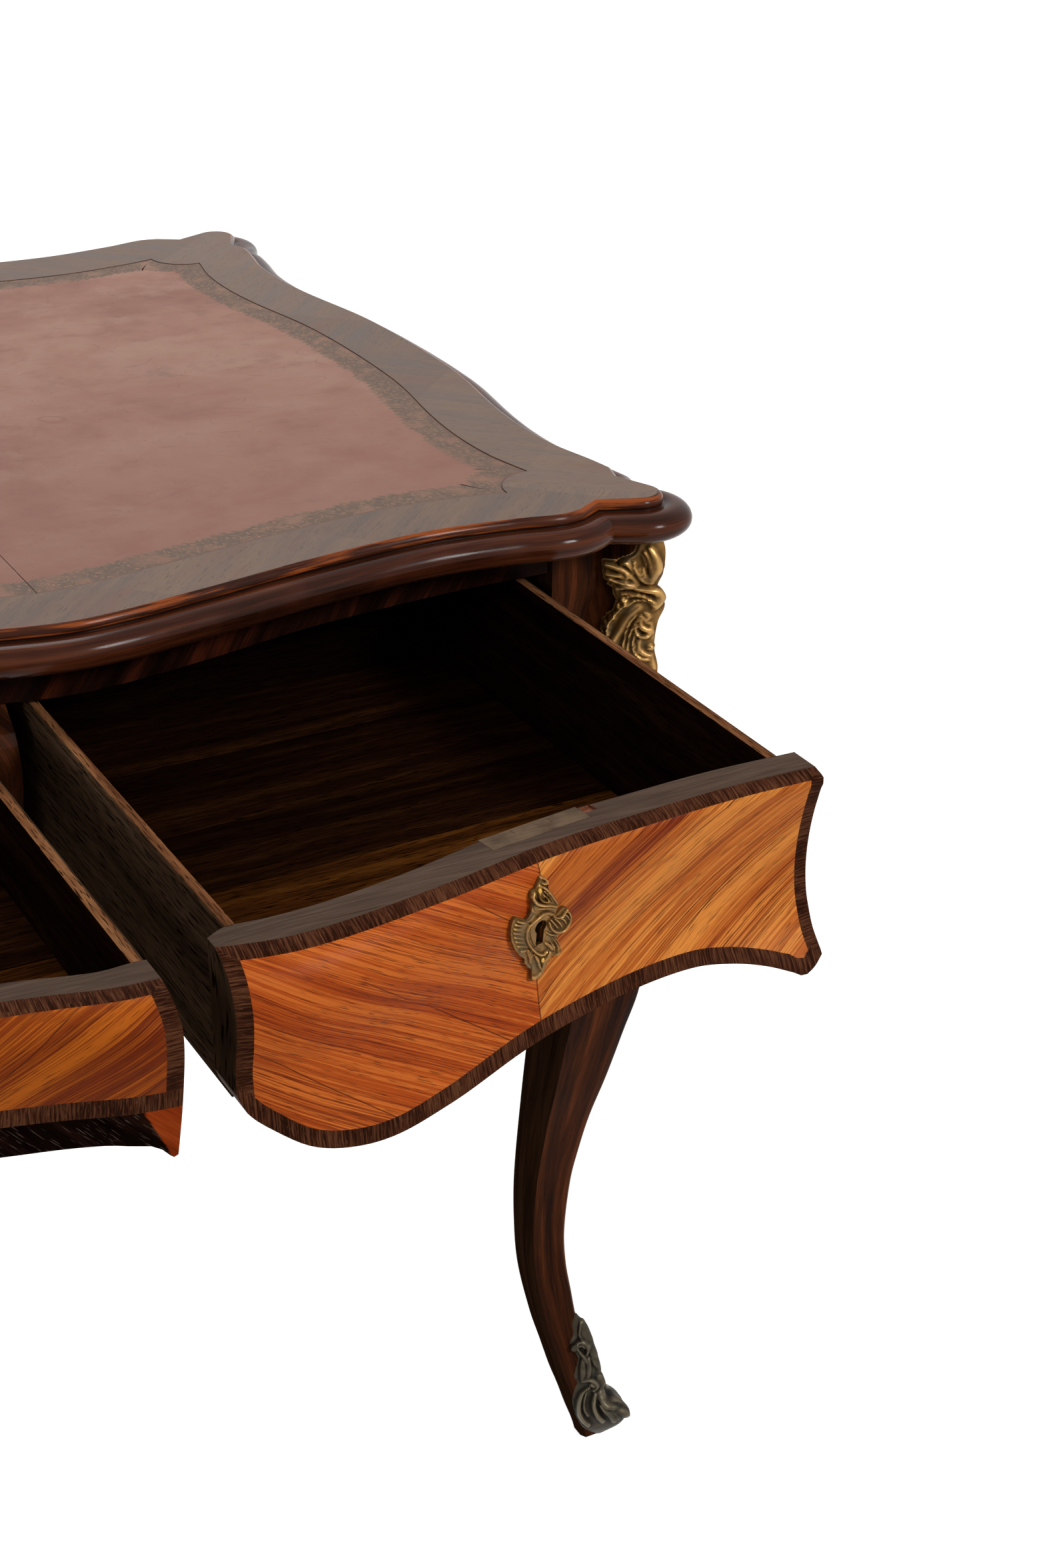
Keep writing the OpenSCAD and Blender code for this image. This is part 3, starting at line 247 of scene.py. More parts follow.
def finishMaterial(material, base, height, strength, depth, gloss=None):
    # depth is in millimetres; gloss is a pattern, its range, and what is added to the roughness at its two ends
    tree = material.node_tree
    shader = tree.nodes["Principled BSDF"]
    ends = {"Base Color": base,
            "Normal": addNode(tree, "Bump", Strength=strength, Distance=depth * mm, Height=height)}
    if gloss:
        pattern, low, high, *change = gloss
        rough = shader.inputs["Roughness"].default_value
        ends["Roughness"] = addNode(tree, "MapRange", pattern, low, high, *(rough + c for c in change))
    for key, socket in ends.items():
        tree.links.new(socket, shader.inputs[key])
    return material


def grainAxes(tree, turn=0, mirrored=False, source="Grain"):
    # distances along and across the grain in metres, turned by an angle in degrees
    if source == "Grain":
        a, b = addNode(tree, "SeparateXYZ", addNode(tree, "UVMap", uv_map="Grain")).node.outputs[:2]
    else:
        # both cross directions count, so that all faces show the grain
        parts = addNode(tree, "SeparateXYZ", addNode(tree, "TexCoord").node.outputs["Object"]).node.outputs
        a, b, c = (parts[axis] for axis in {"x": "XYZ", "y": "YXZ", "z": "ZXY"}[source])
        b = addNode(tree, "Math", c, 0.83, b, operation="MULTIPLY_ADD")
    if mirrored:
        a = addNode(tree, "Math", a, operation="ABSOLUTE")
    if turn:
        cos, sin = math.cos(math.radians(turn)), math.sin(math.radians(turn))
        a, b = [addNode(tree, "Math", b, p, addNode(tree, "Math", a, q, operation="MULTIPLY"),
                        operation="MULTIPLY_ADD") for p, q in ((sin, cos), (cos, -sin))]
    return a, b


def grainNoise(tree, along, across, length, width, seed=0, detail=3, roughness=0.55):
    # noise drawn out along the grain; length and width are those of its blotches in millimetres
    x, y = [addNode(tree, "Math", line, 1000 / size, operation="MULTIPLY")
            for line, size in ((along, length), (across, width))]
    where = addNode(tree, "CombineXYZ", x, y, seed)
    return addNode(tree, "TexNoise", Vector=where, Scale=1, Detail=detail, Roughness=roughness)


def waver(tree, along, across, length, width, amount):
    # bends the grain: moves across by up to amount, in millimetres
    n = addNode(tree, "Math", grainNoise(tree, along, across, length, width, 3.7, 1.5), -0.5, operation="ADD")
    return addNode(tree, "Math", n, 2 * amount * mm, across, operation="MULTIPLY_ADD")


def layGrain(tree, along, across, look):
    # a main and an added pattern, each with length, width, seed and detail, pick the tone
    parts = {kind: grainNoise(tree, along, across, *look[kind]) for kind in ("main", "added")}
    parts["tone"] = addNode(tree, "Math", parts["added"], look["share"], parts["main"],
                            operation="MULTIPLY_ADD")
    parts["base"] = addNode(tree, "ValToRGB", parts["tone"], stops=list(zip(look["steps"], look["tones"])))
    return parts


def meet(tree, *ranges):
    # 1 where all the patterns meet; each is given with its range and, if need be, what that turns into
    masks = [addNode(tree, "MapRange", *given) for given in ranges]
    product = masks[0]
    for mask in masks[1:]:
        product = addNode(tree, "Math", product, mask, operation="MULTIPLY")
    return product


def overlay(tree, base, colour, *ranges, share=1):
    # a colour over base where the patterns meet
    mask = meet(tree, *ranges)
    if share < 1:
        mask = addNode(tree, "Math", mask, share, operation="MULTIPLY")
    return addNode(tree, "Mix", mask, base, colour, data_type="RGBA")


# Kingwood, sliced and laid in a V about the keyhole: orange with red-brown streaks and thin dark veins
kingwoodLook = {"angle": 31, "light": "#df8b3e", "mid": "#bb6124", "dark": "#752a0e", "vein": "#43190a",
                "left": "#d98a5e", "leftShare": 0.6, "figure": 0.62, "band": 20, "streak": 2.6, "fibre": 1.1,
                "leaf": 0.058, "roughness": 0.42}


def makeKingwood(name, **changes):
    look = dict(kingwoodLook, **changes)
    material, tree = newMaterial(name, look["roughness"], 0.06)
    side = addNode(tree, "Math", grainAxes(tree)[0], operation="SIGN")
    seed = addNode(tree, "Math", side, 5.3, operation="MULTIPLY")
    leaf = grainAxes(tree, look["angle"] + 7, True)[1]
    along, across = grainAxes(tree, look["angle"], True)
    for bend in ((260, 90, 2.6), (70, 18, 0.3)):
        across = waver(tree, along, across, *bend)
    band = grainNoise(tree, along, across, 520, look["band"], seed, 2)
    streak = grainNoise(tree, along, across, 240, look["streak"], seed, 4, 0.7)
    fibre = grainNoise(tree, along, across, 110, look["fibre"], seed, 3, 0.7)
    # strips of veneer lie side by side, each with its own tone
    leaf = addNode(tree, "Math", leaf, 1 / look["leaf"], seed, operation="MULTIPLY_ADD")
    strip = addNode(tree, "Math", leaf, operation="FLOOR")
    own = addNode(tree, "TexWhiteNoise", W=strip, noise_dimensions="1D")
    tone = 0.31 - look["figure"] / 2
    for pattern, share in ((band, look["figure"]), (streak, 0.6), (fibre, 0.5), (own, 0.07)):
        tone = addNode(tree, "Math", pattern, share, tone, operation="MULTIPLY_ADD")
    base = addNode(tree, "ValToRGB", tone, stops=[(0.72, look["dark"]), (0.8, look["mid"]), (0.87, look["mid"]),
                                                  (0.97, look["light"])])
    # the leaf on the far side of the joint is darker and redder: partly its own tone, partly painted shade
    # where light falls off to the left
    far = addNode(tree, "MapRange", side, -1, 1, look["leftShare"], 0)
    base = addNode(tree, "Mix", far, base, look["left"], data_type="RGBA", blend_type="MULTIPLY")
    line = grainNoise(tree, along, across, 130, 0.9, 2.2, 3)
    often = grainNoise(tree, along, across, 300, 18, 8.1, 1)
    base = overlay(tree, base, look["dark"], (line, 0.5, 0.6), (often, 0.36, 0.54), share=0.85)
    # the joints between the strips, open here and there, and the joint of the V
    crack = addNode(tree, "Math", leaf, 0.5, operation="PINGPONG")
    broken = grainNoise(tree, along, across, 90, 60, 6.3, 1)
    base = overlay(tree, base, look["vein"], (crack, 0.0035, 0.008, 1, 0), (broken, 0.46, 0.56), share=0.8)
    joint = grainAxes(tree, mirrored=True)[0]
    base = overlay(tree, base, look["vein"], (joint, 0.2 * mm, 0.6 * mm, 0.85, 0))
    # short pores, 0.3 mm wide on the wood and drawn 0.6 mm wide here so that they show, and a few pin knots
    pore = grainNoise(tree, along, across, 13, 0.55, 4.4, 1)
    base = overlay(tree, base, look["vein"], (pore, 0.6, 0.69, 0, 0.7))
    knot = addNode(tree, "TexVoronoi", Vector=addNode(tree, "CombineXYZ", along, across), Scale=17)
    base = overlay(tree, base, look["vein"], (knot, 0.014, 0.03, 0.85, 0))
    return finishMaterial(material, base, fibre, 0.25, 0.05, (fibre, 0.3, 0.7, -0.05, 0.08))


# Rosewood crossbanding, its grain laid square to the edge: dark with short pale flecks
crossbandLook = {"tones": ("#28130a", "#452517", "#5e3a26", "#785238"), "steps": (0.62, 0.74, 0.88),
                 "waver": (14, 9, 0.8), "main": (15, 0.95, 0, 2), "added": (60, 26, 6.1, 3), "share": 0.45,
                 "pore": (5, 0.7, 1.9, 1), "poreRange": (0.64, 0.71, 0, 0.4), "relief": ("main", 0.35, 0.08),
                 "roughness": 0.5, "level": 0.01}

# Old oak, planed and bare: brown with open pores that run along the board
oakLook = {"steps": (0.55, 0.75, 0.95), "waver": (120, 40, 5), "main": (260, 14, 0, 3),
           "added": (30, 1.6, 5.5, 2), "share": 0.5,
           "pore": (14, 0.8, 9.2, 1), "poreRange": (0.57, 0.65), "relief": ("pore", -0.4, 0.15),
           "roughness": 0.66, "level": 0}
oakTones = {
    # dark, mid, light and pore
    "outside": ("#382a1e", "#4d3a2b", "#5e4938", "#160e08"),
    # inside: the outside oak made near black, painted shade on the inner faces of drawers and fronts
    "inside": ("#0c0503", "#160a05", "#221208", "#060201"),
    "rim": ("#573420", "#7c5033", "#9c6e49", "#321f14"),
    "bead": ("#2b1e15", "#453223", "#5d4632", "#1b110a"),
    # floor, the boards behind the front one, is near black and floorFront, the front board, lighter: painted
    # shade that deepens into the drawer
    "floor": ("#160904", "#241107", "#38200d", "#080301"),
    "floorFront": ("#2a1507", "#48260c", "#633a14", "#0f0602"),
    "carcase": ("#4a3a26", "#6d5638", "#86704d", "#2a1d10"),
    "front": ("#3b2c23", "#4d3c31", "#5c493c", "#3d2d22"),
}

# Rosewood on legs and uprights: nearly black with red-brown figure, French polished
legLook = {"tones": ("#1f0e08", "#40200f", "#67351d", "#1f0e08"), "steps": (0.5, 0.68, 0.88),
           "waver": (110, 45, 10), "main": (170, 15, 0, 4, 0.6), "added": (26, 1.3, 6.3, 2), "share": 0.3,
           "pore": (8, 0.7, 1.4, 1), "poreRange": (0.64, 0.72, 0, 0.5), "relief": ("added", 0.15, 0.05),
           "gloss": (-0.05, 0.1), "roughness": 0.36, "level": 0.02}

# Wrought iron of the locks, filed and browned
ironLook = {"tones": ("#443528", "#5f4c3a", "#705a45"), "steps": (0.5, 0.7, 0.92), "main": (20, 14, 3, 4),
            "added": (24, 0.9, 0, 2), "share": 0.4, "relief": ("added", 0.3, 0.05), "roughness": 0.55,
            "level": 0.05}


def makeGrained(name, look, source="Grain", turn=0, **changes):
    look = dict(look, **changes)
    material, tree = newMaterial(name, look["roughness"], look["level"])
    along, across = grainAxes(tree, turn, source=source)
    if "waver" in look:
        across = waver(tree, along, across, *look["waver"])
    parts = layGrain(tree, along, across, look)
    if "pore" in look:
        pore = grainNoise(tree, along, across, *look["pore"])
        parts["pore"] = addNode(tree, "MapRange", pore, *look["poreRange"])
        parts["base"] = addNode(tree, "Mix", parts["pore"], parts["base"], look["tones"][3], data_type="RGBA")
    kind, strength, depth = look["relief"]
    gloss = (parts["main"], 0.3, 0.7, *look["gloss"]) if "gloss" in look else None
    return finishMaterial(material, parts["base"], parts[kind], strength, depth, gloss)


# Walnut moulding under old shellac: deep brown gloss, rubbed to orange along the bead
mouldingLook = {"tones": ("#240f07", "#3f1c0e", "#5d2f19"), "steps": (0.5, 0.68, 0.86), "main": (190, 9, 0, 3),
                "added": (40, 1.5, 4.1, 2), "share": 0.35, "rubbed": "#94481d", "soot": "#140a07",
                "beadEnd": 7.4, "quirk": 8.4, "roughness": 0.17}


def makeMouldingWood(name, look):
    material, tree = newMaterial(name, look["roughness"], 0.11)
    along, across = grainAxes(tree)
    parts = layGrain(tree, along, waver(tree, along, across, 90, 30, 3), look)
    # across is the distance round the section from the arris, so the bead takes its own colour
    wear = grainNoise(tree, along, across, 55, 3.2, 7.7, 4)
    base = overlay(tree, parts["base"], look["rubbed"],
                   (across, look["beadEnd"] * mm, 1.1 * look["beadEnd"] * mm, 1, 0), (wear, 0.47, 0.6))
    # a dark line along the quirk between bead and nose: painted shade in the crease
    quirk = addNode(tree, "Math", across, -look["quirk"] * mm, operation="ADD")
    quirk = addNode(tree, "Math", quirk, operation="ABSOLUTE")
    base = overlay(tree, base, look["soot"], (quirk, 0.5 * mm, 1.6 * mm, 0.9, 0))
    cloud = grainNoise(tree, along, across, 40, 30, 1.3)
    base = overlay(tree, base, look["tones"][2], (cloud, 0.5, 0.75, 0, 0.25))
    return finishMaterial(material, base, parts["main"], 0.12, 0.2, (cloud, 0.3, 0.7, -0.06, 0.1))


# Rosewood border, waxed and worn: brown gone grey, in pieces laid at a slant with dark figure
borderLook = {"tones": ("#4b3528", "#5f4634", "#705541"), "red": "#653f2c", "pore": "#2c1c13",
              "piece": 165, "slant": 45, "roughness": 0.38}


def makeBorderVeneer(name, look):
    material, tree = newMaterial(name, look["roughness"], 0.27)
    # each piece of veneer has its own tone
    x, y = grainAxes(tree)
    count = addNode(tree, "Math", x, 1000 / look["piece"], operation="MULTIPLY")
    count = addNode(tree, "Math", y, 1000 / look["piece"], count, operation="MULTIPLY_ADD")
    count = addNode(tree, "Math", count, operation="FLOOR")
    own = addNode(tree, "TexWhiteNoise", W=count, noise_dimensions="1D")
    along, across = grainAxes(tree, look["slant"], True)
    across = waver(tree, along, across, 70, 50, 6)
    band = grainNoise(tree, along, across, 150, 13, own, 4, 0.6)
    tone = band
    for pattern, share in ((grainNoise(tree, along, across, 30, 1.4, 2.5, 2), 0.3), (own, 0.16)):
        tone = addNode(tree, "Math", pattern, share, tone, operation="MULTIPLY_ADD")
    base = addNode(tree, "ValToRGB", tone, stops=list(zip((0.5, 0.7, 0.92), look["tones"])))
    base = overlay(tree, base, look["red"], (grainNoise(tree, along, across, 120, 26, 6.6), 0.55, 0.7, 0, 0.6))
    pore = grainNoise(tree, along, across, 9, 0.9, 4.4, 1)
    base = overlay(tree, base, look["pore"], (pore, 0.64, 0.7, 0, 0.75))
    return finishMaterial(material, base, pore, -0.2, 0.05, (band, 0.3, 0.7, -0.04, 0.1))


# Skiver leather, dyed and long handled: rose brown clouded with tan, its rim tooled in worn gilt
leatherLook = {"rose": "#8d5c49", "tan": "#9b7460", "red": "#774431", "stain": "#553d33", "gilt": "#7c5a40",
               "tool": "#3d2a1c", "bandFrom": 2, "bandTo": 24, "spray": 14, "roughness": 0.5}


def makeLeather(name, look):
    material, tree = newMaterial(name, look["roughness"], 0.3)
    spot = addNode(tree, "TexCoord").node.outputs["Object"]
    cloud = addNode(tree, "TexNoise", Vector=spot, Scale=7, Detail=5, Roughness=0.62, Distortion=0.6)
    base = addNode(tree, "ValToRGB", cloud,
                   stops=[(0.3, look["red"]), (0.5, look["rose"]), (0.72, look["tan"])])
    streak = addNode(tree, "Mapping", Vector=spot, Scale=(11, 46, 1))
    streak = addNode(tree, "TexNoise", Vector=streak, Scale=1, Detail=4)
    base = overlay(tree, base, look["tan"], (streak, 0.5, 0.75, 0, 0.3))
    dirt = addNode(tree, "TexNoise", Vector=spot, Scale=24, Detail=6, Roughness=0.7)
    base = overlay(tree, base, look["stain"], (dirt, 0.6, 0.72, 0, 0.45))
    cloud = addNode(tree, "TexNoise", Vector=spot, Scale=19, Detail=8, Roughness=0.7)
    base = overlay(tree, base, look["tan"], (cloud, 0.5, 0.66, 0, 0.7))
    base = overlay(tree, base, look["red"], (cloud, 0.46, 0.34, 0, 0.6))
    # the front edge has been handled most
    depth = addNode(tree, "SeparateXYZ", spot).node.outputs["Y"]
    base = overlay(tree, base, look["red"], (depth, 0.1, -0.34, 0, 0.6))
    # scratches, and specks of ink
    for scale, shift in ((8, 0), (13, 4)):
        where = addNode(tree, "Mapping", Vector=spot, Location=(shift, shift, 0), Scale=(1, 2.2, 1))
        line = addNode(tree, "TexNoise", Vector=where, Scale=scale, Detail=1)
        line = addNode(tree, "Math", line, 0.5, operation="SUBTRACT")
        line = addNode(tree, "Math", line, operation="ABSOLUTE")
        gone = addNode(tree, "TexNoise", Vector=where, Scale=2.3 * scale, Detail=2)
        base = overlay(tree, base, look["red"], (line, 0.001, 0.004, 0.6, 0), (gone, 0.52, 0.6))
    for scale, colour, span in ((95, "stain", (0.04, 0.09, 0.5, 0)), (48, "red", (0.03, 0.07, 0.55, 0))):
        speck = addNode(tree, "TexVoronoi", Vector=spot, Scale=scale)
        base = overlay(tree, base, look[colour], (speck, *span))
    # the tooled rim: leaf sprays between two rolled lines, with a ragged inner edge
    along, across = grainAxes(tree)
    turn = addNode(tree, "Math", along, 2 * math.pi / (look["spray"] * mm), operation="MULTIPLY")
    lift = addNode(tree, "Math", addNode(tree, "Math", turn, operation="SINE"), 3.2 * mm, across,
                   operation="MULTIPLY_ADD")
    leaves = addNode(tree, "TexVoronoi", Vector=addNode(tree, "CombineXYZ", along, lift), Scale=310,
                     Randomness=0.75, feature="DISTANCE_TO_EDGE")
    worn = addNode(tree, "TexNoise", Vector=spot, Scale=60, Detail=3)
    ragged = addNode(tree, "Math", addNode(tree, "Math", turn, 2, operation="MULTIPLY"), operation="SINE")
    ragged = addNode(tree, "Math", ragged, 1.1 * mm, across, operation="MULTIPLY_ADD")
    ragged = addNode(tree, "Math", worn, 14 * mm, ragged, operation="MULTIPLY_ADD")
    ragged = addNode(tree, "Math", ragged, 7 * mm, operation="SUBTRACT")
    inside = ((ragged, (look["bandTo"] - 3) * mm, look["bandTo"] * mm, 1, 0),
              (across, (look["bandFrom"] - 1) * mm, look["bandFrom"] * mm))
    base = overlay(tree, base, look["gilt"], *inside, (worn, 0.3, 0.6, 0.55, 1))
    pattern = meet(tree, (leaves, 0.1, 0.26, 1, 0), (worn, 0.28, 0.5))
    tooled = addNode(tree, "Math", meet(tree, *inside), pattern, operation="MULTIPLY")
    pressed = addNode(tree, "Math", tooled, 0.75, operation="MULTIPLY")
    base = addNode(tree, "Mix", pressed, base, look["tool"], data_type="RGBA")
    base = overlay(tree, base, look["tool"], (across, 0.6 * mm, 2.4 * mm, 0.75, 0))
    # grain pebbles are about 0.5 mm and drawn at 1.6 mm so that they show
    pebble = addNode(tree, "TexVoronoi", Vector=spot, Scale=620)
    height = addNode(tree, "Math", tooled, -1.6, pebble, operation="MULTIPLY_ADD")
    return finishMaterial(material, base, height, 0.25, 0.12)


# Cast bronze, fire gilt and rubbed: gold on the high parts, brown in the hollows
bronzeLook = {
    "gilt": {"tones": ("#33220f", "#664a22", "#8c6638", "#b98f55"), "green": "#5d503a", "roughness": 0.4},
    "dark": {"tones": ("#0e0b08", "#221d16", "#3c352a", "#665c4a"), "green": "#38362c", "roughness": 0.42},
    "pin": {"tones": ("#6b4c1c", "#a0762e", "#c2933f", "#d3a64e"), "green": "#a8803a", "roughness": 0.22},
}


def makeBronze(name, look):
    material, tree = newMaterial(name, look["roughness"], 0.3, 0.75)
    spot = addNode(tree, "TexCoord").node.outputs["Object"]
    cloud = addNode(tree, "TexNoise", Vector=spot, Scale=260, Detail=4, Roughness=0.65)
    # the grain map's first number is how far a point stands proud
    level = addNode(tree, "Math", cloud, 1.3 * mm, grainAxes(tree)[0], operation="MULTIPLY_ADD")
    level = addNode(tree, "MapRange", level, -0.9 * mm, 2.3 * mm)
    base = addNode(tree, "ValToRGB", level, stops=list(zip((0, 0.3, 0.5, 0.85), look["tones"])))
    age = addNode(tree, "TexNoise", Vector=spot, Scale=70, Detail=3)
    base = overlay(tree, base, look["green"], (age, 0.5, 0.68, 0, 0.6))
    pits = addNode(tree, "TexNoise", Vector=spot, Scale=1100, Detail=2)
    return finishMaterial(material, base, pits, 0.35, 0.15, (level, 0.2, 0.8, 0.18, -0.05))


# The strip under the centre drawer: nearly black rosewood with pale flecks, a red-brown patch let in at its end
stripLook = {"tones": ("#080403", "#120806", "#2a1711"), "patchTones": ("#5c200c", "#8a3413", "#a8481c"),
             "steps": (0.5, 0.72, 0.95), "main": (90, 9, 0, 3), "added": (26, 1.2, 3.1, 2), "share": 0.4,
             "fleck": "#917b6b", "patch": 194.4, "slope": 0.42, "roughness": 0.36}


def makeStrip(name, look):
    material, tree = newMaterial(name, look["roughness"], 0)
    along, across = grainAxes(tree, -52, True)
    parts = layGrain(tree, along, across, look)
    fleck = grainNoise(tree, along, across, 12, 0.6, 7.4, 1)
    base = overlay(tree, parts["base"], look["fleck"], (fleck, 0.64, 0.71, 0, 0.26))
    # the patch is cut on a slant
    x, y = grainAxes(tree, mirrored=True)
    past = addNode(tree, "Math", y, look["slope"], x, operation="MULTIPLY_ADD")
    ragged = addNode(tree, "Math", parts["added"], 3 * mm, past, operation="MULTIPLY_ADD")
    warm = addNode(tree, "ValToRGB", parts["tone"], stops=list(zip(look["steps"], look["patchTones"])))
    base = overlay(tree, base, warm, (ragged, (look["patch"] + 1) * mm, (look["patch"] + 2) * mm))
    return finishMaterial(material, base, parts["added"], 0.2, 0.05)


def makeOak(name, tones, **changes):
    return makeGrained(name, oakLook, tones=oakTones[tones], **changes)


kingwood = makeKingwood("kingwoodVeneer")
# the centre drawer's veneer is a darker, redder copy: partly its own tone, partly painted shade where light
# falls off to the left
kingwoodCentre = makeKingwood("kingwoodCentre", figure=0.8, light="#b45c17", mid="#80350d", dark="#5e1f09")
patchWood = makeKingwood("kingwoodPatch", angle=-33, light="#9a6044", mid="#7a4832", dark="#4c2a1c")
crossband = makeGrained("rosewoodCrossband", crossbandLook, turn=90)
frontWood = makeOak("frontOak", "front", roughness=0.55, level=0.04, pore=(34, 0.6, 9.2, 1))
sideOutside = makeOak("sideOakOutside", "outside", pore=(20, 1.1, 9.2, 1))
# the inner faces take the near-black oak: painted shade
sideInsidePaintedShade = makeOak("sideOakInsidePaintedShade", "inside")
sideRim = makeOak("sideOakRim", "rim")
sideBead = makeOak("sideOakBead", "bead")
# floor boards: painted shade, lighter on the front board and near black behind it
floorOakPaintedShade = makeOak("floorOakPaintedShade", "floor")
floorFront = makeOak("floorOakFront", "floorFront")
# the drawer backs take the near-black inside oak: painted shade
backOak = makeOak("backOak", "inside", source="x")
carcaseOakX = makeOak("carcaseOakAcross", "carcase", source="x")
carcaseOakY = makeOak("carcaseOakBack", "carcase", source="y")
mouldingWood = makeMouldingWood("walnutMoulding", mouldingLook)
borderVeneer = makeBorderVeneer("rosewoodBorder", borderLook)
leatherSkin = makeLeather("tooledLeather", leatherLook)
giltBronze = makeBronze("giltBronze", bronzeLook["gilt"])
darkBronze = makeBronze("brownedBronze", bronzeLook["dark"])
brassPin = makeBronze("brassPin", bronzeLook["pin"])
lockIron = makeGrained("lockIron", ironLook, source="x")
boltIron = makeGrained("boltIron", ironLook, source="x", tones=("#4a392c", "#65503e", "#77604b"))
legVeneer = makeGrained("rosewoodLeg", legLook)
darkVeneer = makeGrained("rosewoodUpright", legLook, source="z")
# the two inner faces: duller, with their dark tones lifted so that the shaded side reads lit: painted light
legInnerPaintedLight = makeGrained("rosewoodLegInnerPaintedLight", legLook, tones=("#26170f", "#392518", "#4a3123", "#26170f"), level=0,
                       roughness=0.6)
# the arris: lighter tones that stand for the highlight along the leg's edges: painted highlight
legArrisHighlight = makeGrained("arrisPaintedHighlight", legLook, tones=("#3a1f12", "#5f3b24", "#80573a", "#3a1f12"))
railVeneer = makeGrained("rosewoodRail", legLook, source="x", turn=50,
                         tones=("#0e0503", "#200d07", "#4a1f10", "#0e0503"))
railDark = makeStrip("rosewoodStrip", stripLook)
print("materials made")


def column(*values):
    return np.stack(np.broadcast_arrays(*values), -1)


def runLength(points):
    # distance along a line of points
    steps = np.linalg.norm(np.diff(np.asarray(points, float), axis=0), axis=1)
    return np.concatenate([[0], np.cumsum(steps)])


# the top: outlines in plan, from the middle of the front to the middle of the right end
top = {
    "earLean": 22.5, "core": 14, "strip": 30, "swell": 0.25, "step": 7.0, "earSteps": 16,
    "noseR": 10, "noseOut": 8.7, "noseArc": (118, -91, 26), "endShift": 37, "earFrom": 58, "cornerOff": (7, -2),
    "arris": [(0, 1.2), (0, 0), (0.5, 0.12), (1.3, 0.6), (2.3, 1.7), (3.0, 3.2), (3.3, 4.8), (3.15, 6.1),
              (2.75, 7.2), (2.9, 7.9)],
}
halfTurn = math.tan(math.radians(top["earLean"]))
earPoint = (desk["earWidth"] * halfTurn - desk["earIn"]) / (1 - halfTurn)
earR = earPoint * math.sqrt(2) / (1 / math.sin(math.radians(45 - top["earLean"])) - 1)
earMid = earR / math.sqrt(2)
earX, earY = halfW - top["earFrom"], halfD - top["earFrom"]


def edgeQuarter():
    x = np.linspace(0, earX, int(earX / top["step"]) + 1)
    y = np.linspace(earY, 0, int(earY / top["step"]) + 1)
    a = np.radians(top["earLean"] - (90 + 2 * top["earLean"]) * (1 - np.linspace(0, 1, top["earSteps"])))
    ear = column(halfW - earMid + earR * np.cos(a), earMid - halfD + earR * np.sin(a))
    ear = np.vstack([[halfW - desk["earWidth"], desk["earIn"] - halfD], ear,
                     [halfW - desk["earIn"], desk["earWidth"] - halfD]])
    return column(x, -edgeY(x)), ear, column(edgeX(y), -y)


def insetQuarter(inset, radius, hollow, further=0):
    # the same count of points on a line inside the edge, with a round or scooped corner
    front, ear, end = edgeQuarter()
    offX, offY = top["cornerOff"]
    cx, cy = halfW - offX - inset, halfD - offY - inset
    inset, radius = inset + further, radius + further
    trim = math.asin(further / radius)
    reachX, reachY = cx - radius * math.cos(trim), cy - radius * math.cos(trim)
    x = front[:, 0] * reachX / earX
    y = -end[:, 1] * reachY / earY
    share = (np.arange(len(ear)) + 0.5) / len(ear)
    if hollow:
        a = math.pi - trim - (math.pi / 2 - 2 * trim) * share
        corner = column(cx + radius * np.cos(a), -cy + radius * np.sin(a))
    else:
        a = np.radians(90 * share - 90)
        corner = column(reachX + radius * np.cos(a), -reachY + radius * np.sin(a))
    return column(x, inset - edgeY(x)), corner, column(edgeX(y) - inset, -y)


def whole(parts, deepen=True):
    q = np.vstack(parts)
    ring = np.vstack([q, q[-2::-1] * (1, -1), -q[1:], q[-2:0:-1] * (-1, 1)])
    if deepen:
        ring[:, 1] = np.where(ring[:, 1] > 0, ring[:, 1] * (1 + desk["backMore"] / halfD), ring[:, 1])
    return ring


def outward(ring):
    # mitred outward direction at each point of a closed outline
    side = np.roll(ring, -1, 0) - ring
    side = column(side[:, 1], -side[:, 0]) / np.linalg.norm(side, axis=1)[:, None]
    last = np.roll(side, 1, 0)
    return (last + side) / (1 + (last * side).sum(1))[:, None]


def closed(grid):
    return np.concatenate([grid, grid[:, :1]], 1)


def makeMoulding():
    edge, core = whole(edgeQuarter()), whole(insetQuarter(top["strip"], top["core"], False))
    out = outward(edge)
    near = np.linalg.norm(column(halfW - np.abs(edge[:, 0]), halfD - np.abs(edge[:, 1])), axis=1)
    near = np.maximum(0, 1 - near / (1.2 * desk["earWidth"]))
    drop = desk["edge"] - top["noseR"]
    arc = np.radians(np.linspace(*top["noseArc"]))
    section = top["arris"] + list(zip(top["noseOut"] + top["noseR"] * np.cos(arc),
                                      drop - top["noseR"] * np.sin(arc)))
    rings = []
    for s, d in section:
        p = edge + s * (1 + top["swell"] * near)[:, None] * out
        rings.append(np.column_stack([p, np.full(len(p), desk["height"] - d)]))
    rings.append(np.column_stack([core, np.full(len(core), under)]))
    rings.append(np.column_stack([core, np.full(len(core), desk["height"] - desk["veneer"])]))
    rings.append(rings[0])
    grid = closed(np.array(rings))
    along = runLength(grid[12][:, :2])
    inside = [(-top["strip"], desk["edge"]), (-top["strip"], desk["veneer"]), (0, desk["veneer"])]
    across = runLength(section + inside) - desk["veneer"]
    uv = column(along[None, :], across[:, None])
    shape = newShape()
    addSheet(shape, grid, uv)
    return finishShape("edgeMoulding", shape, [mouldingWood], sharp=28)


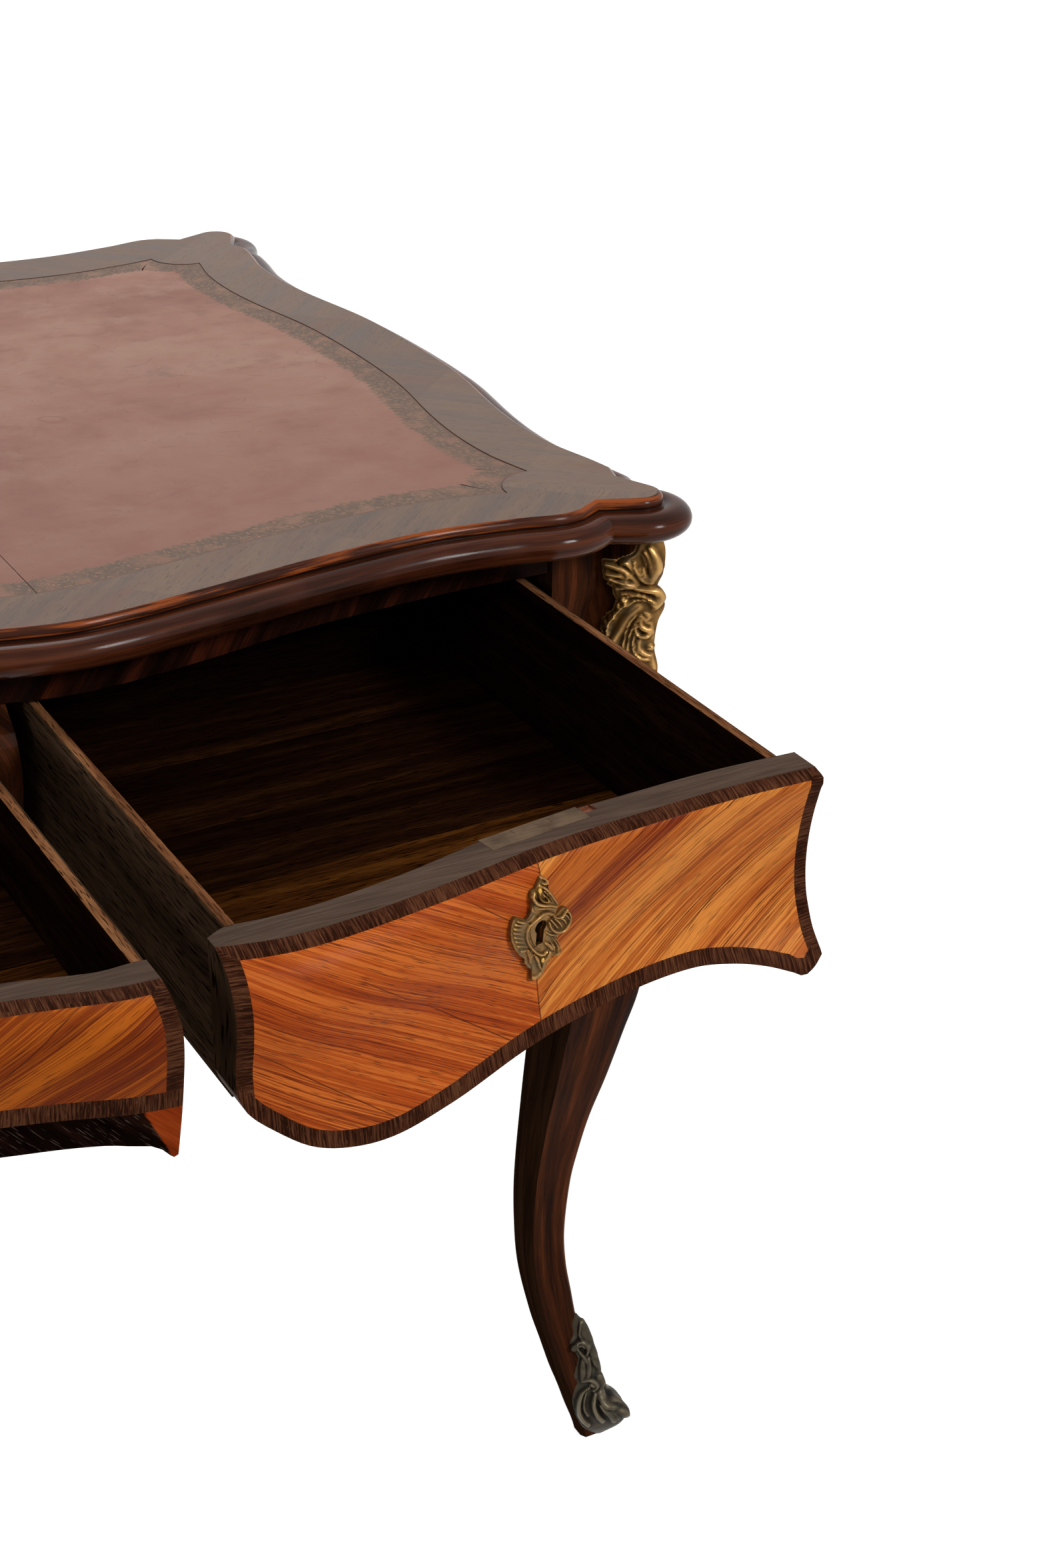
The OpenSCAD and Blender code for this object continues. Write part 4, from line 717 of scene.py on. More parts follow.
def makeBorder():
    edge = whole(edgeQuarter())
    inner = whole(insetQuarter(desk["border"], desk["scoop"], True), deepen=False)
    shares = np.linspace(0, 1, 5)
    z = desk["height"]
    rings = [np.column_stack([edge, np.full(len(edge), z - desk["veneer"])])]
    rings += [np.column_stack([edge + (inner - edge) * s, np.full(len(edge), z)]) for s in shares]
    rings += [np.column_stack([inner, np.full(len(edge), z - desk["veneer"])]), rings[0]]
    grid = closed(np.array(rings))
    # the veneer at the ends is laid from the other side, so its map is turned
    n = len(edgeQuarter()[0]) + (top["earSteps"] + 2) // 2
    q = len(np.vstack(edgeQuarter()))
    atEnd = np.zeros(grid.shape[1] - 1, bool)
    atEnd[n - 1:2 * q - n - 1] = True
    atEnd[n - 1 + 2 * (q - 1):2 * q - n - 1 + 2 * (q - 1)] = True
    shape = newShape()
    for part, turned in ((atEnd, True), (~atEnd, False)):
        for j in np.flatnonzero(part):
            block = grid[:, j:j + 2]
            x, y = block[..., 0], block[..., 1]
            uv = column(np.abs(y) + top["endShift"], np.abs(x)) if turned else column(x, y * np.sign(-y))
            addSheet(shape, block, uv)
    return finishShape("borderVeneer", shape, [borderVeneer], sharp=40)


leather = {"bands": [0, 0.5, 1.5, 3, 6, 10, 14, 18, 22, 26], "gap": 0.25, "top": 779.7, "bed": 778.8,
           "round": 0.25, "roundOver": 1.5}


def makeSkins():
    # rings that step in from the veneer, a sheet across the middle, then cuts at the two seams
    rings = []
    for d in leather["bands"]:
        ring = whole(insetQuarter(desk["border"], desk["scoop"], True, d + leather["gap"]), False)
        z = leather["top"] - leather["round"] * max(0, 1 - d / leather["roundOver"]) ** 2
        rings.append(np.column_stack([ring, np.full(len(ring), z)]))
    bed = rings[0].copy()
    bed[:, 2] = leather["bed"]
    grid = closed(np.array([bed] + rings))
    along = runLength(grid[5][:, :2])
    uv = column(along[None, :], np.array([0] + leather["bands"])[:, None])
    shape = newShape()
    addSheet(shape, grid, uv)
    addFace(shape, rings[-1], [(0, 90)] * len(bed))
    addFace(shape, bed[::-1], [(0, 90)] * len(bed))
    seam = desk["seam"]
    made = []
    for name, lo, hi in (("leatherLeft", None, -seam - leather["gap"]),
                         ("leatherCentre", -seam + leather["gap"], seam - leather["gap"]),
                         ("leatherRight", seam + leather["gap"], None)):
        piece = finishShape(name, shape, [leatherSkin], sharp=30)
        work = bmesh.new()
        work.from_mesh(piece.data)
        for at, keep in ((lo, -1), (hi, 1)):
            if at is not None:
                cut = bmesh.ops.bisect_plane(work, geom=work.verts[:] + work.edges[:] + work.faces[:],
                                             plane_co=(at * mm, 0, 0), plane_no=(keep, 0, 0),
                                             clear_outer=True)
                rim = [e for e in cut["geom_cut"] if isinstance(e, bmesh.types.BMEdge)]
                bmesh.ops.holes_fill(work, edges=rim, sides=0)
        work.to_mesh(piece.data)
        work.free()
        shadeByAngle(piece, 30)
        made.append(piece)
    return made


print("laying the top")
place(makeMoulding(), "desk", "moulding_wood", "top_moulding")
place(makeBorder(), "desk", "border_veneer", "border_veneer")
for skin, node in zip(makeSkins(), ("leather_left", "leather_centre", "leather_right")):
    place(skin, "desk", "leather", node)


# shaped fronts: outer and centre drawers, their false twins on the back, and the two ends
front = {"band": 9.5, "bandSteps": 4, "columns": 84, "keyDrop": 40, "keyOff": 5, "joint": 464.5,
         "lowBand": [50.5, 62], "plateShift": 20}
lockX = (frontL + frontR) / 2 - front["keyOff"]
plateX = lockX + front["plateShift"]


def makeFront(name, style, skins, innerAt=None):
    # slots: 0 field, 1 crossband, 2 bare top edge, 3 inside in painted shade, 4 lower strip, 5 corner patch, 6
    # end edge
    shape, xs, faceAt = newShape(), style["xs"], style["face"]
    steps, n = front["bandSteps"], len(xs)
    fine, length = [], []
    for x, drop in zip(xs, style["drop"](xs)):
        t = np.concatenate([np.linspace(style["start"], 14, 70), np.linspace(14, drop, 110)[1:]])
        fine.append(t)
        length.append(runLength(column(faceAt(np.full_like(t, x), t), t)))
    full = np.array([s[-1] for s in length])
    tilt = np.gradient(full, xs)
    low = np.minimum(front["band"] * np.hypot(1, tilt), 0.45 * full)
    t, s = [], []
    for j in range(n):
        stops = [0, front["band"]]
        stops += [float(np.interp(a, fine[j], length[j])) for a in style["splits"]]
        if not style["splits"]:
            stops.append(full[j] - low[j])
        stops.append(full[j])
        line = [0.0]
        for a, b, c in zip(stops, stops[1:], style["rows"]):
            line += list(np.linspace(a, b, c + 1)[1:])
        s.append(line)
        t.append(np.interp(line, length[j], fine[j]))
    t, s = np.array(t).T, np.array(s).T
    x = np.broadcast_to(xs, t.shape)
    face = column(x, -faceAt(x, t), drawerTop - t)
    inner = column(x, -(innerAt or style["inner"])(x), drawerTop - t)
    edge = full - s
    maps = {"field": column(x - style["joint"], -s), "top": column(x, s), "low": column(x, edge),
            "left": column(s + 300, x - xs[0]), "right": column(s + 700, xs[-1] - x)}
    rows = t.shape[0] - 1
    zone = np.repeat(np.arange(len(style["rows"])), style["rows"])
    base = len(shape["points"])
    shape["points"].extend(face.reshape(-1, 3).tolist())
    for i in range(rows):
        for j in range(n - 1):
            fromEnd = min(j, n - 2 - j)
            kind, slot = "field", 0
            if fromEnd < steps:
                kind, slot = "left" if j < n / 2 else "right", 1
            if zone[i] == 0 and i <= fromEnd:
                kind, slot = "top", 1
            if style["splits"]:
                if zone[i] == 2:
                    kind, slot = "low", 1
                elif zone[i] == 3:
                    kind, slot = "field", 4
            elif zone[i] == 2 and rows - 1 - i <= fromEnd:
                kind, slot = "low", 1
            ring = [(i, j), (i + 1, j), (i + 1, j + 1), (i, j + 1)]
            shape["faces"].append([base + a * n + b for a, b in ring])
            shape["uvs"].append([tuple(maps[kind][a, b]) for a, b in ring])
            shape["slots"].append(slot)
    addSheet(shape, inner, column(x, t), 3)
    addSheet(shape, np.array([face[0], inner[0]]), column(face[:1, :, 0].repeat(2, 0),
                                                          np.array([face[0, :, 1], inner[0, :, 1]])), 2)
    addSheet(shape, np.array([face[-1], inner[-1]]), column(x[:2], t[:2] * 0 + [[0], [9]]), 1)
    for j in (0, -1):
        addSheet(shape, np.array([face[:, j], inner[:, j]]), column(s[:, j][None], np.array([[0], [9]])),
                 6 if style["joint"] else 1)
    return finishShape(name, shape, skins, sharp=40)


def stations(*runs):
    # places along a front: each run has its start, its end and its count, and the next begins where it ends
    parts = [np.linspace(start, end, count + 1)[:-1] for start, end, count in runs]
    return np.concatenate(parts + [[runs[-1][1]]])


def bothWays(half):
    return np.concatenate([-half[:0:-1], half])


few, many = front["bandSteps"], front["columns"]
outerStyle = {
    "face": lambda x, t: faceY(x) + swellOuter(x, t),
    "drop": lambda x: smooth(dropOuter, np.abs(x) - frontL),
    "inner": lambda x: faceY(x) - smooth(thickKnots, x - frontL),
    "xs": stations((frontL, frontL + 8.5, few), (frontL + 8.5, frontR - 8, many), (frontR - 8, frontR, few)),
    "start": 0, "splits": [], "joint": front["joint"], "rows": [4, 26, 4],
}
centreStyle = {
    "face": lambda x, t: centreFace(x) + swellCentre(x, t),
    "drop": lambda x: smooth(dropCentre, np.abs(x)),
    "inner": lambda x: centreFace(x) - smooth(thinKnots, centreR - np.abs(x)),
    "xs": bothWays(stations((0, centreR - 8.5, many // 2), (centreR - 8.5, centreR, few))),
    "start": 0, "splits": front["lowBand"], "joint": 0, "rows": [4, 20, 4, 12],
}
endStyle = {
    "face": lambda y, t: smooth(sideKnots, np.abs(y)) + 0.9 * smooth(swellPost, np.maximum(t, 0)),
    "drop": lambda y: smooth(dropSide, np.abs(y)),
    "inner": lambda y: smooth(sideKnots, np.abs(y)) - 20,
    "xs": bothWays(stations((0, postY - 9, 39), (postY - 9, postY, few))),
    "start": -29, "splits": [], "joint": 0, "rows": [4, 30, 4],
}
styles = {"left": outerStyle, "centre": centreStyle, "right": outerStyle}


def toMesh(piece, matrix):
    piece.data.transform(matrix)
    if matrix.determinant() < 0:
        piece.data.flip_normals()
    return piece


def cutAway(piece, cutters):
    for cutter in cutters:
        mod = piece.modifiers.new("cut", "BOOLEAN")
        mod.object, mod.operation, mod.solver = cutter, "DIFFERENCE", "EXACT"
    bpy.context.view_layer.update()
    graph = bpy.context.evaluated_depsgraph_get()
    mesh = bpy.data.meshes.new_from_object(piece.evaluated_get(graph), preserve_all_data_layers=True,
                                           depsgraph=graph)
    piece.modifiers.clear()
    old, piece.data = piece.data, mesh
    mesh.name = piece.name
    bpy.data.meshes.remove(old)
    for cutter in cutters:
        bpy.data.objects.remove(cutter)
    return piece


def blockCutter(lo, hi, matrix, materials, slot=2):
    shape = newShape()
    xs, ys, zs = zip(lo, hi)
    corner = [(x, y, z) for x in xs for y in ys for z in zs]
    for ring in ((0, 1, 3, 2), (4, 6, 7, 5), (0, 4, 5, 1), (2, 3, 7, 6), (0, 2, 6, 4), (1, 5, 7, 3)):
        points = [corner[k] for k in ring]
        addFace(shape, points, [(p[0] + p[2], p[1]) for p in points], slot)
    return toMesh(finishShape("cutter", shape, materials), matrix)


plateHole = {"at": (2.5, 0.8), "round": 4.0, "slot": 2.6, "down": 11.6}


def keyholeCutter(z, depth, matrix, materials, shift=0.0):
    r, w = plateHole["round"] - 0.2, plateHole["slot"]
    a = math.asin(w / r)
    ring = [(r * math.cos(b), r * math.sin(b)) for b in np.linspace(a - math.pi / 2, 1.5 * math.pi - a, 40)]
    ring += [(-w, -plateHole["down"]), (w, -plateHole["down"])]
    shape = newShape()
    x0, z0 = plateHole["at"][0] - shift, plateHole["at"][1]
    grid = np.array([[(x0 + x, y, z + z0 + v) for x, v in ring] for y in (-depth, depth)])
    addSheet(shape, closed(grid), np.zeros((2, len(ring) + 1, 2)), 2)
    for row in grid:
        addFace(shape, row, [(0, 0)] * len(ring), 2)
    return toMesh(finishShape("cutter", shape, materials), matrix)


def onFace(x, tilt):
    return Matrix.Translation((x * mm, -float(faceY(x)) * mm, 0)) @ Matrix.Rotation(tilt, 4, "Z")


def tiltAt(line, x):
    return math.atan(float(line(x - 5) - line(x + 5)) / 10)


plateTilt = tiltAt(faceY, plateX)
keyTilt = tiltAt(lambda x: outerStyle["face"](x, front["keyDrop"]), lockX)
lockAt = onFace(plateX, plateTilt)
keyAt = onFace(lockX, keyTilt)
centreLockAt = Matrix.Translation((0, -float(faceY(0)) * mm + (18 - 24.5) * mm, 0))
# the cut is square to the face, which stands proud of the line it is placed on
keyShift = float(swellOuter(lockX, front["keyDrop"])) * math.tan(keyTilt)
centreKeyAt = Matrix.Translation((0, -float(faceY(0)) * mm, 0))
# where the cuts for the lock begin, and how far back and up they run out of the front
lockRoom = {"plate": (32.8, 10.2, 721.7), "case": (26.3, 11.2, 679.7), "shift": -5, "back": 45, "plateUp": 730,
            "caseUp": 722.5}
chip = {"at": 38, "turn": 0.12, "low": (-4.5, 15.5, 722.3), "high": (5, 21.5, 730)}


def lockCutters(matrix, shift, materials):
    half, y, z = lockRoom["plate"]
    caseHalf, caseY, caseZ = lockRoom["case"]
    back = lockRoom["back"]
    return [blockCutter((-half, y, z), (half, back, lockRoom["plateUp"]), matrix, materials),
            blockCutter((shift - caseHalf, caseY, caseZ), (shift + caseHalf, back, lockRoom["caseUp"]), matrix,
                        materials)]


mirror = Matrix.Scale(-1, 4, (1, 0, 0))
moves = {side: Matrix.Translation((0, -out * mm, 0)) for side, out in drawerOpen.items()}
moves["left"] = moves["left"] @ mirror
turnBack = Matrix.Rotation(math.pi, 4, "Z")
backMoves = {"left": turnBack, "centre": turnBack, "right": turnBack @ mirror}
frontSkins = [kingwood, crossband, frontWood, sideInsidePaintedShade, railDark, patchWood, sideOutside]

print("veneering the drawer fronts")
for side, style in styles.items():
    skins, shift, depth, lockPlace, keyPlace = frontSkins, lockRoom["shift"], 50, lockAt, keyAt
    if side == "centre":
        skins = [kingwoodCentre] + frontSkins[1:]
        shift, depth, lockPlace, keyPlace = 0, 30, centreLockAt, centreKeyAt
    piece = makeFront("front" + side.capitalize(), style, skins)
    cutters = lockCutters(lockPlace, shift, skins)
    if side != "centre":
        chipAt = lockAt @ Matrix.Translation((chip["at"] * mm, 0, 0)) @ Matrix.Rotation(chip["turn"], 4, "Z")
        cutters.append(blockCutter(chip["low"], chip["high"], chipAt, skins, 5))
    cutters.append(keyholeCutter(drawerTop - front["keyDrop"], depth, keyPlace, skins,
                                 keyShift if shift else 0))
    shadeByAngle(cutAway(piece, cutters), 40)
    place(toMesh(piece, moves[side]), "drawer_" + side, "kingwood", f"drawer_{side}_front",
          f"drawer_{side}_veneer")

# the false fronts of the back are thinner, and their inner faces follow the outline
backInner = {"outer": lambda x: faceY(x) - 19.6,
             "centre": lambda x: np.minimum(centreFace(x), faceY(x) - 4) - 15.5}
print("veneering the back and the ends")
for side, style in styles.items():
    thin = backInner["centre" if side == "centre" else "outer"]
    piece = makeFront("back" + side.capitalize(), style, frontSkins, thin)
    place(toMesh(piece, backMoves[side]), "desk", "kingwood", "back_front_" + side)
for side, turn in (("right", math.pi / 2), ("left", -math.pi / 2)):
    piece = makeFront("end" + side.capitalize(), endStyle, frontSkins)
    place(toMesh(piece, Matrix.Rotation(turn, 4, "Z")), "desk", "leg_wood", "side_frieze_" + side)


# drawer linings
lining = {
    "side": 7.5, "outerHigh": 105, "centreHigh": 69, "sideIn": 10.5, "centreSideIn": 0.5,
    "outerEnd": 115.5, "centreEnd": 133.9,
    "bottom": 8, "outerLift": 5, "gap": 1.2, "arris": 0.7, "bead": 3.2, "groove": 1.2,
    "outerJoints": [(268, 258), (193, 172), (95, 95)], "centreJoints": [(340, 344), (225, 222), (110, 112)],
}
boxL, boxR, boxC = frontL + lining["sideIn"], frontR - lining["sideIn"], centreR - lining["centreSideIn"]


def sideSection(high):
    # round the section from the foot of the outer face: points with their slots
    w, b, g = lining["side"], lining["bead"], lining["groove"]
    ring = [(w, 0, 0), (w, high - b - g - 0.8, 0), (w - 0.9, high - b - g, 0), (w - 0.9, high - b, 0)]
    arc = np.radians(np.linspace(-60, 90, 7))
    ring += [(w - 1.7 + 1.7 * math.cos(a), high - 1.9 + 1.9 * math.sin(a), 1) for a in arc]
    ring += [(1.2, high, 2), (0.35, high - 0.3, 2), (0, high - 1.1, 3), (0, 0, 3), (w, 0, 3)]
    return ring


def addSide(shape, x, outer, z, high, yFront, yEnd):
    # outer is the sign of the outward direction
    ring = sideSection(high)
    start = x if outer > 0 else x + lining["side"]
    ys = np.linspace(yFront, yEnd, 40)
    girth = runLength([(a, b) for a, b, c in ring])
    grid = np.array([[(start + outer * a, y, z + b) for a, b, c in ring] for y in ys])
    uv = column(ys[:, None], girth[None, :])
    slots = [[c for a, b, c in ring[1:]]] * (len(ys) - 1)
    addSheet(shape, grid, uv, slots)
    for row in (grid[0], grid[-1]):
        addFace(shape, row[:-1], [(p[0], p[2]) for p in row[:-1]], 3)


def addBoard(shape, near, far, z, thick):
    # a floor board between two lines in plan, with soft upper arrises; the grain runs from side to side
    xs = np.linspace(near[0][0], near[-1][0], 40)
    a = np.interp(xs, *zip(*near))
    b = np.interp(xs, *zip(*far))
    r, t = lining["arris"], thick
    rows = [(0, 0, 0), (0, 0, t - r), (0.3 * r, 0, t - 0.3 * r), (r, 0, t),
            (-r, 1, t), (-0.3 * r, 1, t - 0.3 * r), (0, 1, t - r), (0, 1, 0), (0, 0, 0)]
    grid = np.array([[(x, (q if beyond else p) + d, z + h) for x, p, q in zip(xs, a, b)]
                     for d, beyond, h in rows])
    uv = column(np.broadcast_to(xs, grid.shape[:2]), grid[..., 1] + 0.7 * grid[..., 2])
    addSheet(shape, grid, uv)
    for j in (0, -1):
        addFace(shape, grid[:-1, j], [(p[1], p[2]) for p in grid[:-1, j]])


print("lining the drawers")
for side, style in styles.items():
    kind, lift, xa, xb = "outer", lining["outerLift"], boxL, boxR
    if side == "centre":
        kind, lift, xa, xb = "centre", 0, -boxC, boxC
    inner, end, high = style["inner"], lining[kind + "End"], lining[kind + "High"] - lift
    z, w = drawerTop - high, lining["side"]
    shape = newShape()
    for x, outer in ((xa, -1), (xb - w, 1)):
        yFront = max(-float(inner(x)), -float(inner(x + w))) - 0.4
        addSide(shape, x, outer, z, high, yFront, end)
    sideSkins = [sideOutside, sideBead, sideRim, sideInsidePaintedShade]
    piece = finishShape("sides" + side.capitalize(), shape, sideSkins, sharp=30)
    place(toMesh(piece, moves[side]), "drawer_" + side, "drawer_oak", f"drawer_{side}_sides")
    xs = np.linspace(xa + w, xb - w, 50)
    lines = [list(zip(xs, -inner(xs) - 0.3))]
    lines += [[(xa + w, end - p), (xb - w, end - q)] for p, q in lining[kind + "Joints"] + [(0, 0)]]
    for k in range(len(lines) - 1):
        shape = newShape()
        near = [(x, y + (lining["gap"] / 2 if k else 0)) for x, y in lines[k]]
        far = [(x, y - (lining["gap"] / 2 if k < len(lines) - 2 else 0)) for x, y in lines[k + 1]]
        addBoard(shape, near, far, z, lining["bottom"] - lift)
        # the front board is lighter and those behind it darker: painted shade deeper in the drawer
        floorSkin = [floorFront, floorOakPaintedShade, floorOakPaintedShade, floorOakPaintedShade][k]
        piece = finishShape(f"floor{side.capitalize()}{k + 1}", shape, [floorSkin], sharp=50)
        place(toMesh(piece, moves[side]), "drawer_" + side, "drawer_oak", f"drawer_{side}_bottom")


# cabriole legs: distances in from the ear's tip, by height
leg = {
    "out": [[0, 18.5], [20, 20], [50, 23.5], [80, 28], [106, 33], [130, 36], [155, 39],
            [185, 40], [231, 37], [259, 33], [292, 27], [328, 18.5], [368, 10], [410, 1.5],
            [470, -2], [530, -4], [570, -2], [600, 3], [drawerTop - 101, 18], [drawerTop - 89, 24],
            [drawerTop - 74, 29], [drawerTop - 54, 30], [drawerTop - 34, 29], [drawerTop - 16, 25],
            [drawerTop, 24], [under, 24]],
    "in": [[0, 35], [10, 37], [24, 41], [42, 45.5], [58, 50], [82, 55.5], [106, 61], [150, 68],
           [190, 70], [231, 69.8], [300, 66], [359, 62], [410, 58.5], [480, 59], [560, 63],
           [drawerTop - 110, desk["postIn"]], [drawerTop, desk["postIn"]], [under, desk["postIn"]]],
    "bevel": 2.5, "soft": 0.27, "chuteFoot": 474, "foot": 0.4, "levels": 130,
}


def legOut(z):
    return smooth(leg["out"], z)


def legIn(z):
    d = smooth(leg["in"], z)
    return np.where(z > leg["chuteFoot"], np.minimum(d, desk["postIn"]), d)


def makeLeg(name):
    z = np.linspace(leg["foot"], under, leg["levels"])
    a, b, c = legOut(z), legIn(z), leg["bevel"]
    rows, slots = [], []
    # round the section: front face, arris with a painted highlight, end face, then the two inner faces with
    # painted light
    def run(p0, p1, slot):
        for s in np.linspace(0, 1, 7)[:-1]:
            rows.append(column(p0[0] + (p1[0] - p0[0]) * s, p0[1] + (p1[1] - p0[1]) * s))
            slots.append(slot)
    run((b - c, a), (a + c, a), 0)
    for k in range(3):
        u = k / 3
        rows.append(column(a + c * (1 - u), a + c * u) - leg["soft"] * math.sin(math.pi * u))
        slots.append(1)
    run((a, a + c), (a, b - c), 0)
    run((a + c, b), (b - c, b), 2)
    run((b, b - c), (b, a + c), 2)
    rows.append(rows[0])
    plan = np.array(rows)
    grid = column(halfW - plan[..., 0], plan[..., 1] - halfD, np.broadcast_to(z, plan.shape[:2]))
    girth = runLength(plan[:, len(z) // 2, :])
    uv = column(np.broadcast_to(z, plan.shape[:2]), np.broadcast_to(girth[:, None], plan.shape[:2]))
    shape = newShape()
    addSheet(shape, grid, uv, np.repeat(np.array(slots)[:, None], len(z) - 1, 1))
    for k in (0, -1):
        addFace(shape, grid[:-1, k], [(p[0], p[1]) for p in grid[:-1, k]], 0)
    return finishShape(name, shape, [legVeneer, legArrisHighlight, legInnerPaintedLight], sharp=32)


corners = {"front_right": Matrix.Identity(4), "front_left": mirror,
           "back_right": Matrix.Scale(-1, 4, (0, 1, 0)), "back_left": turnBack}


def inWords(at):
    return "".join(word.capitalize() for word in at.split("_"))


print("turning the legs")
for at, matrix in corners.items():
    place(toMesh(makeLeg("leg" + inWords(at)), matrix), "desk", "leg_wood", "leg_" + at)


# chased bronze: mounts are sheets of relief, drawn as strokes and wrapped on the wood
def bend(points):
    # a smooth line through points of (across, up, half width, height), in 13 pieces
    t = np.linspace(0, len(points) - 1, 14)
    return column(*[smooth(list(enumerate(values)), t) for values in zip(*points)])


def strokeHeight(x, z, line, vein=0.0):
    best = np.full(np.shape(x), -9.0)
    for (x0, z0, w0, h0), (x1, z1, w1, h1) in zip(line, line[1:]):
        dx, dz = x1 - x0, z1 - z0
        t = np.clip(((x - x0) * dx + (z - z0) * dz) / (dx * dx + dz * dz + 1e-9), 0, 1)
        s = np.hypot(x - x0 - t * dx, z - z0 - t * dz) / (w0 + (w1 - w0) * t)
        high = (h0 + (h1 - h0) * t) * (np.sqrt(np.clip(1 - s * s, 0, 1)) - vein * np.exp(-(s / 0.2) ** 2))
        best = np.maximum(best, np.where(s < 1, high, -9.0))
    return best


def carve(x, z, strokes, ground):
    high = np.broadcast_to(ground, np.shape(x)).astype(float)
    for points, vein in strokes:
        high = np.maximum(high, strokeHeight(x, z, bend(points) if len(points) > 2 else points, vein))
    return high


def blur(grid, passes):
    for _ in range(passes):
        wide = np.pad(grid, 1, mode="edge")
        grid = (wide[:-2, 1:-1] + wide[2:, 1:-1] + wide[1:-1, :-2] + wide[1:-1, 2:] + 4 * grid) / 8
    return grid


chasing = {"soften": 2, "level": 16, "proud": 1.4, "cutDown": 0.8, "fade": 1.5, "bare": -0.55, "backing": 3}


def makeMount(name, mount, z, ridge, wood, edge, outline, bulge, strokes, material):
    # half of the sheet goes from the ridge to its edge on the front face; the other half mirrors it
    share = np.linspace(0, 1, mount["columns"])[:, None]
    run = np.array([edge - ridge, wood + mount["sink"] - ridge])
    length = np.hypot(*run)
    normal = np.array([run[1], -run[0]]) / length
    diagonal = np.full(2, -math.sqrt(0.5))[:, None, None]
    swell = bulge * (edge - ridge) * 4 * share * (1 - share)
    p = ridge + run[0] * share + normal[0] * swell
    q = ridge + run[1] * share + normal[1] * swell
    seen = p + mount["slide"] * q
    inside = np.clip(0.5 - (seen - outline + chasing["fade"]) / 2, 0, 1)
    ground = mount["ground"] * inside - chasing["cutDown"] * (1 - inside)
    up = z + mount["lean"][0] * q + mount["lean"][1] * p
    lift = blur(carve(seen, up, strokes, ground), chasing["soften"])
    mix = np.clip(share / 0.15, 0, 1) * np.ones_like(p)
    way = diagonal * (1 - mix) + np.array([normal[0] * mix, normal[1] * mix])
    way = way / np.linalg.norm(way, axis=0)
    p, q = p + way[0] * lift, q + way[1] * lift
    p[0] = q[0] = (p[0] + q[0]) / 2
    proud = chasing["proud"] * (lift - blur(lift, chasing["level"]))
    inner = np.array([wood + chasing["backing"]] * 2)
    plan = np.concatenate([column(p, q)[::-1], column(q, p)[1:], [inner.T], [column(p, q)[-1]]])
    tone = np.concatenate([proud[::-1], proud[1:], [proud[-1]], [proud[-1]]])
    grid = column(halfW - plan[..., 0], plan[..., 1] - halfD, np.broadcast_to(z, plan.shape[:2]))
    # what shows beyond the drawn outline is the wood block behind the bronze
    bare = (seen > outline) & (lift < chasing["bare"])
    bare = np.concatenate([bare[::-1], bare[1:], [bare[-1]], [bare[-1]]])
    slots = (bare[:-1, :-1] & bare[1:, :-1] & bare[:-1, 1:] & bare[1:, 1:]).astype(int)
    uv = np.where(bare[..., None], column(np.broadcast_to(z, tone.shape), grid[..., 0]),
                  column(tone, grid[..., 2]))
    shape = newShape()
    addSheet(shape, grid, uv, slots)
    for k in (0, -1):
        addFace(shape, grid[:-1, k], [(0, 0)] * (len(grid) - 1))
    return finishShape(name, shape, [material, legVeneer], sharp=75)


chute = {
    # slide and lean turn the drawn places, taken on a flat plane from the front left, to real ones
    "foot": 474, "columns": 54, "sink": 0.8, "ground": 1.5, "slide": 0.575, "lean": (0.354, -0.23),
    "proud": [[0, 4.5], [0.13, 6.3], [0.24, 7.5], [0.34, 9.5], [0.4, 11], [0.45, 13], [0.5, 20], [0.58, 28],
              [0.656, 32], [0.706, 30.4], [0.775, 30.8], [0.82, 31], [0.86, 25.5], [0.9, 27.7], [0.96, 28.5],
              [1, 26]],
    # where the ragged edge lies on the front face, in from the ear's tip
    "edge": [[474, 3], [482, 5], [492, 4], [500, 6], [510, 4], [520, 6.5], [529, 7], [537, 5], [545, 7],
             [555, 6], [565, 8], [575, 8], [586, 10], [596, 9], [606, 13], [616, 19], [626, 26], [634, 30],
             [640, 34], [648, 35], [654, 32], [658, 36], [664, 37], [668, 35], [673, 38.5], [677, 39],
             [679, 36], [681, 39.5], [684, 39.5], [686, 36], [688, 38.5], [691, 37.5], [696, 31], [700, 28],
             [703, 27.5], [708, 30.5], [711, 31.5], [713, 30.5], [715, 35.5], [717, 34.5], [719, 38.5],
             [721.5, 38.5], [723, 35.5], [725, 39], [727.5, 38], [729.5, 27], [732, 29], [734, 25],
             [737, 18], [742, 14.5], [753, 13]],
}


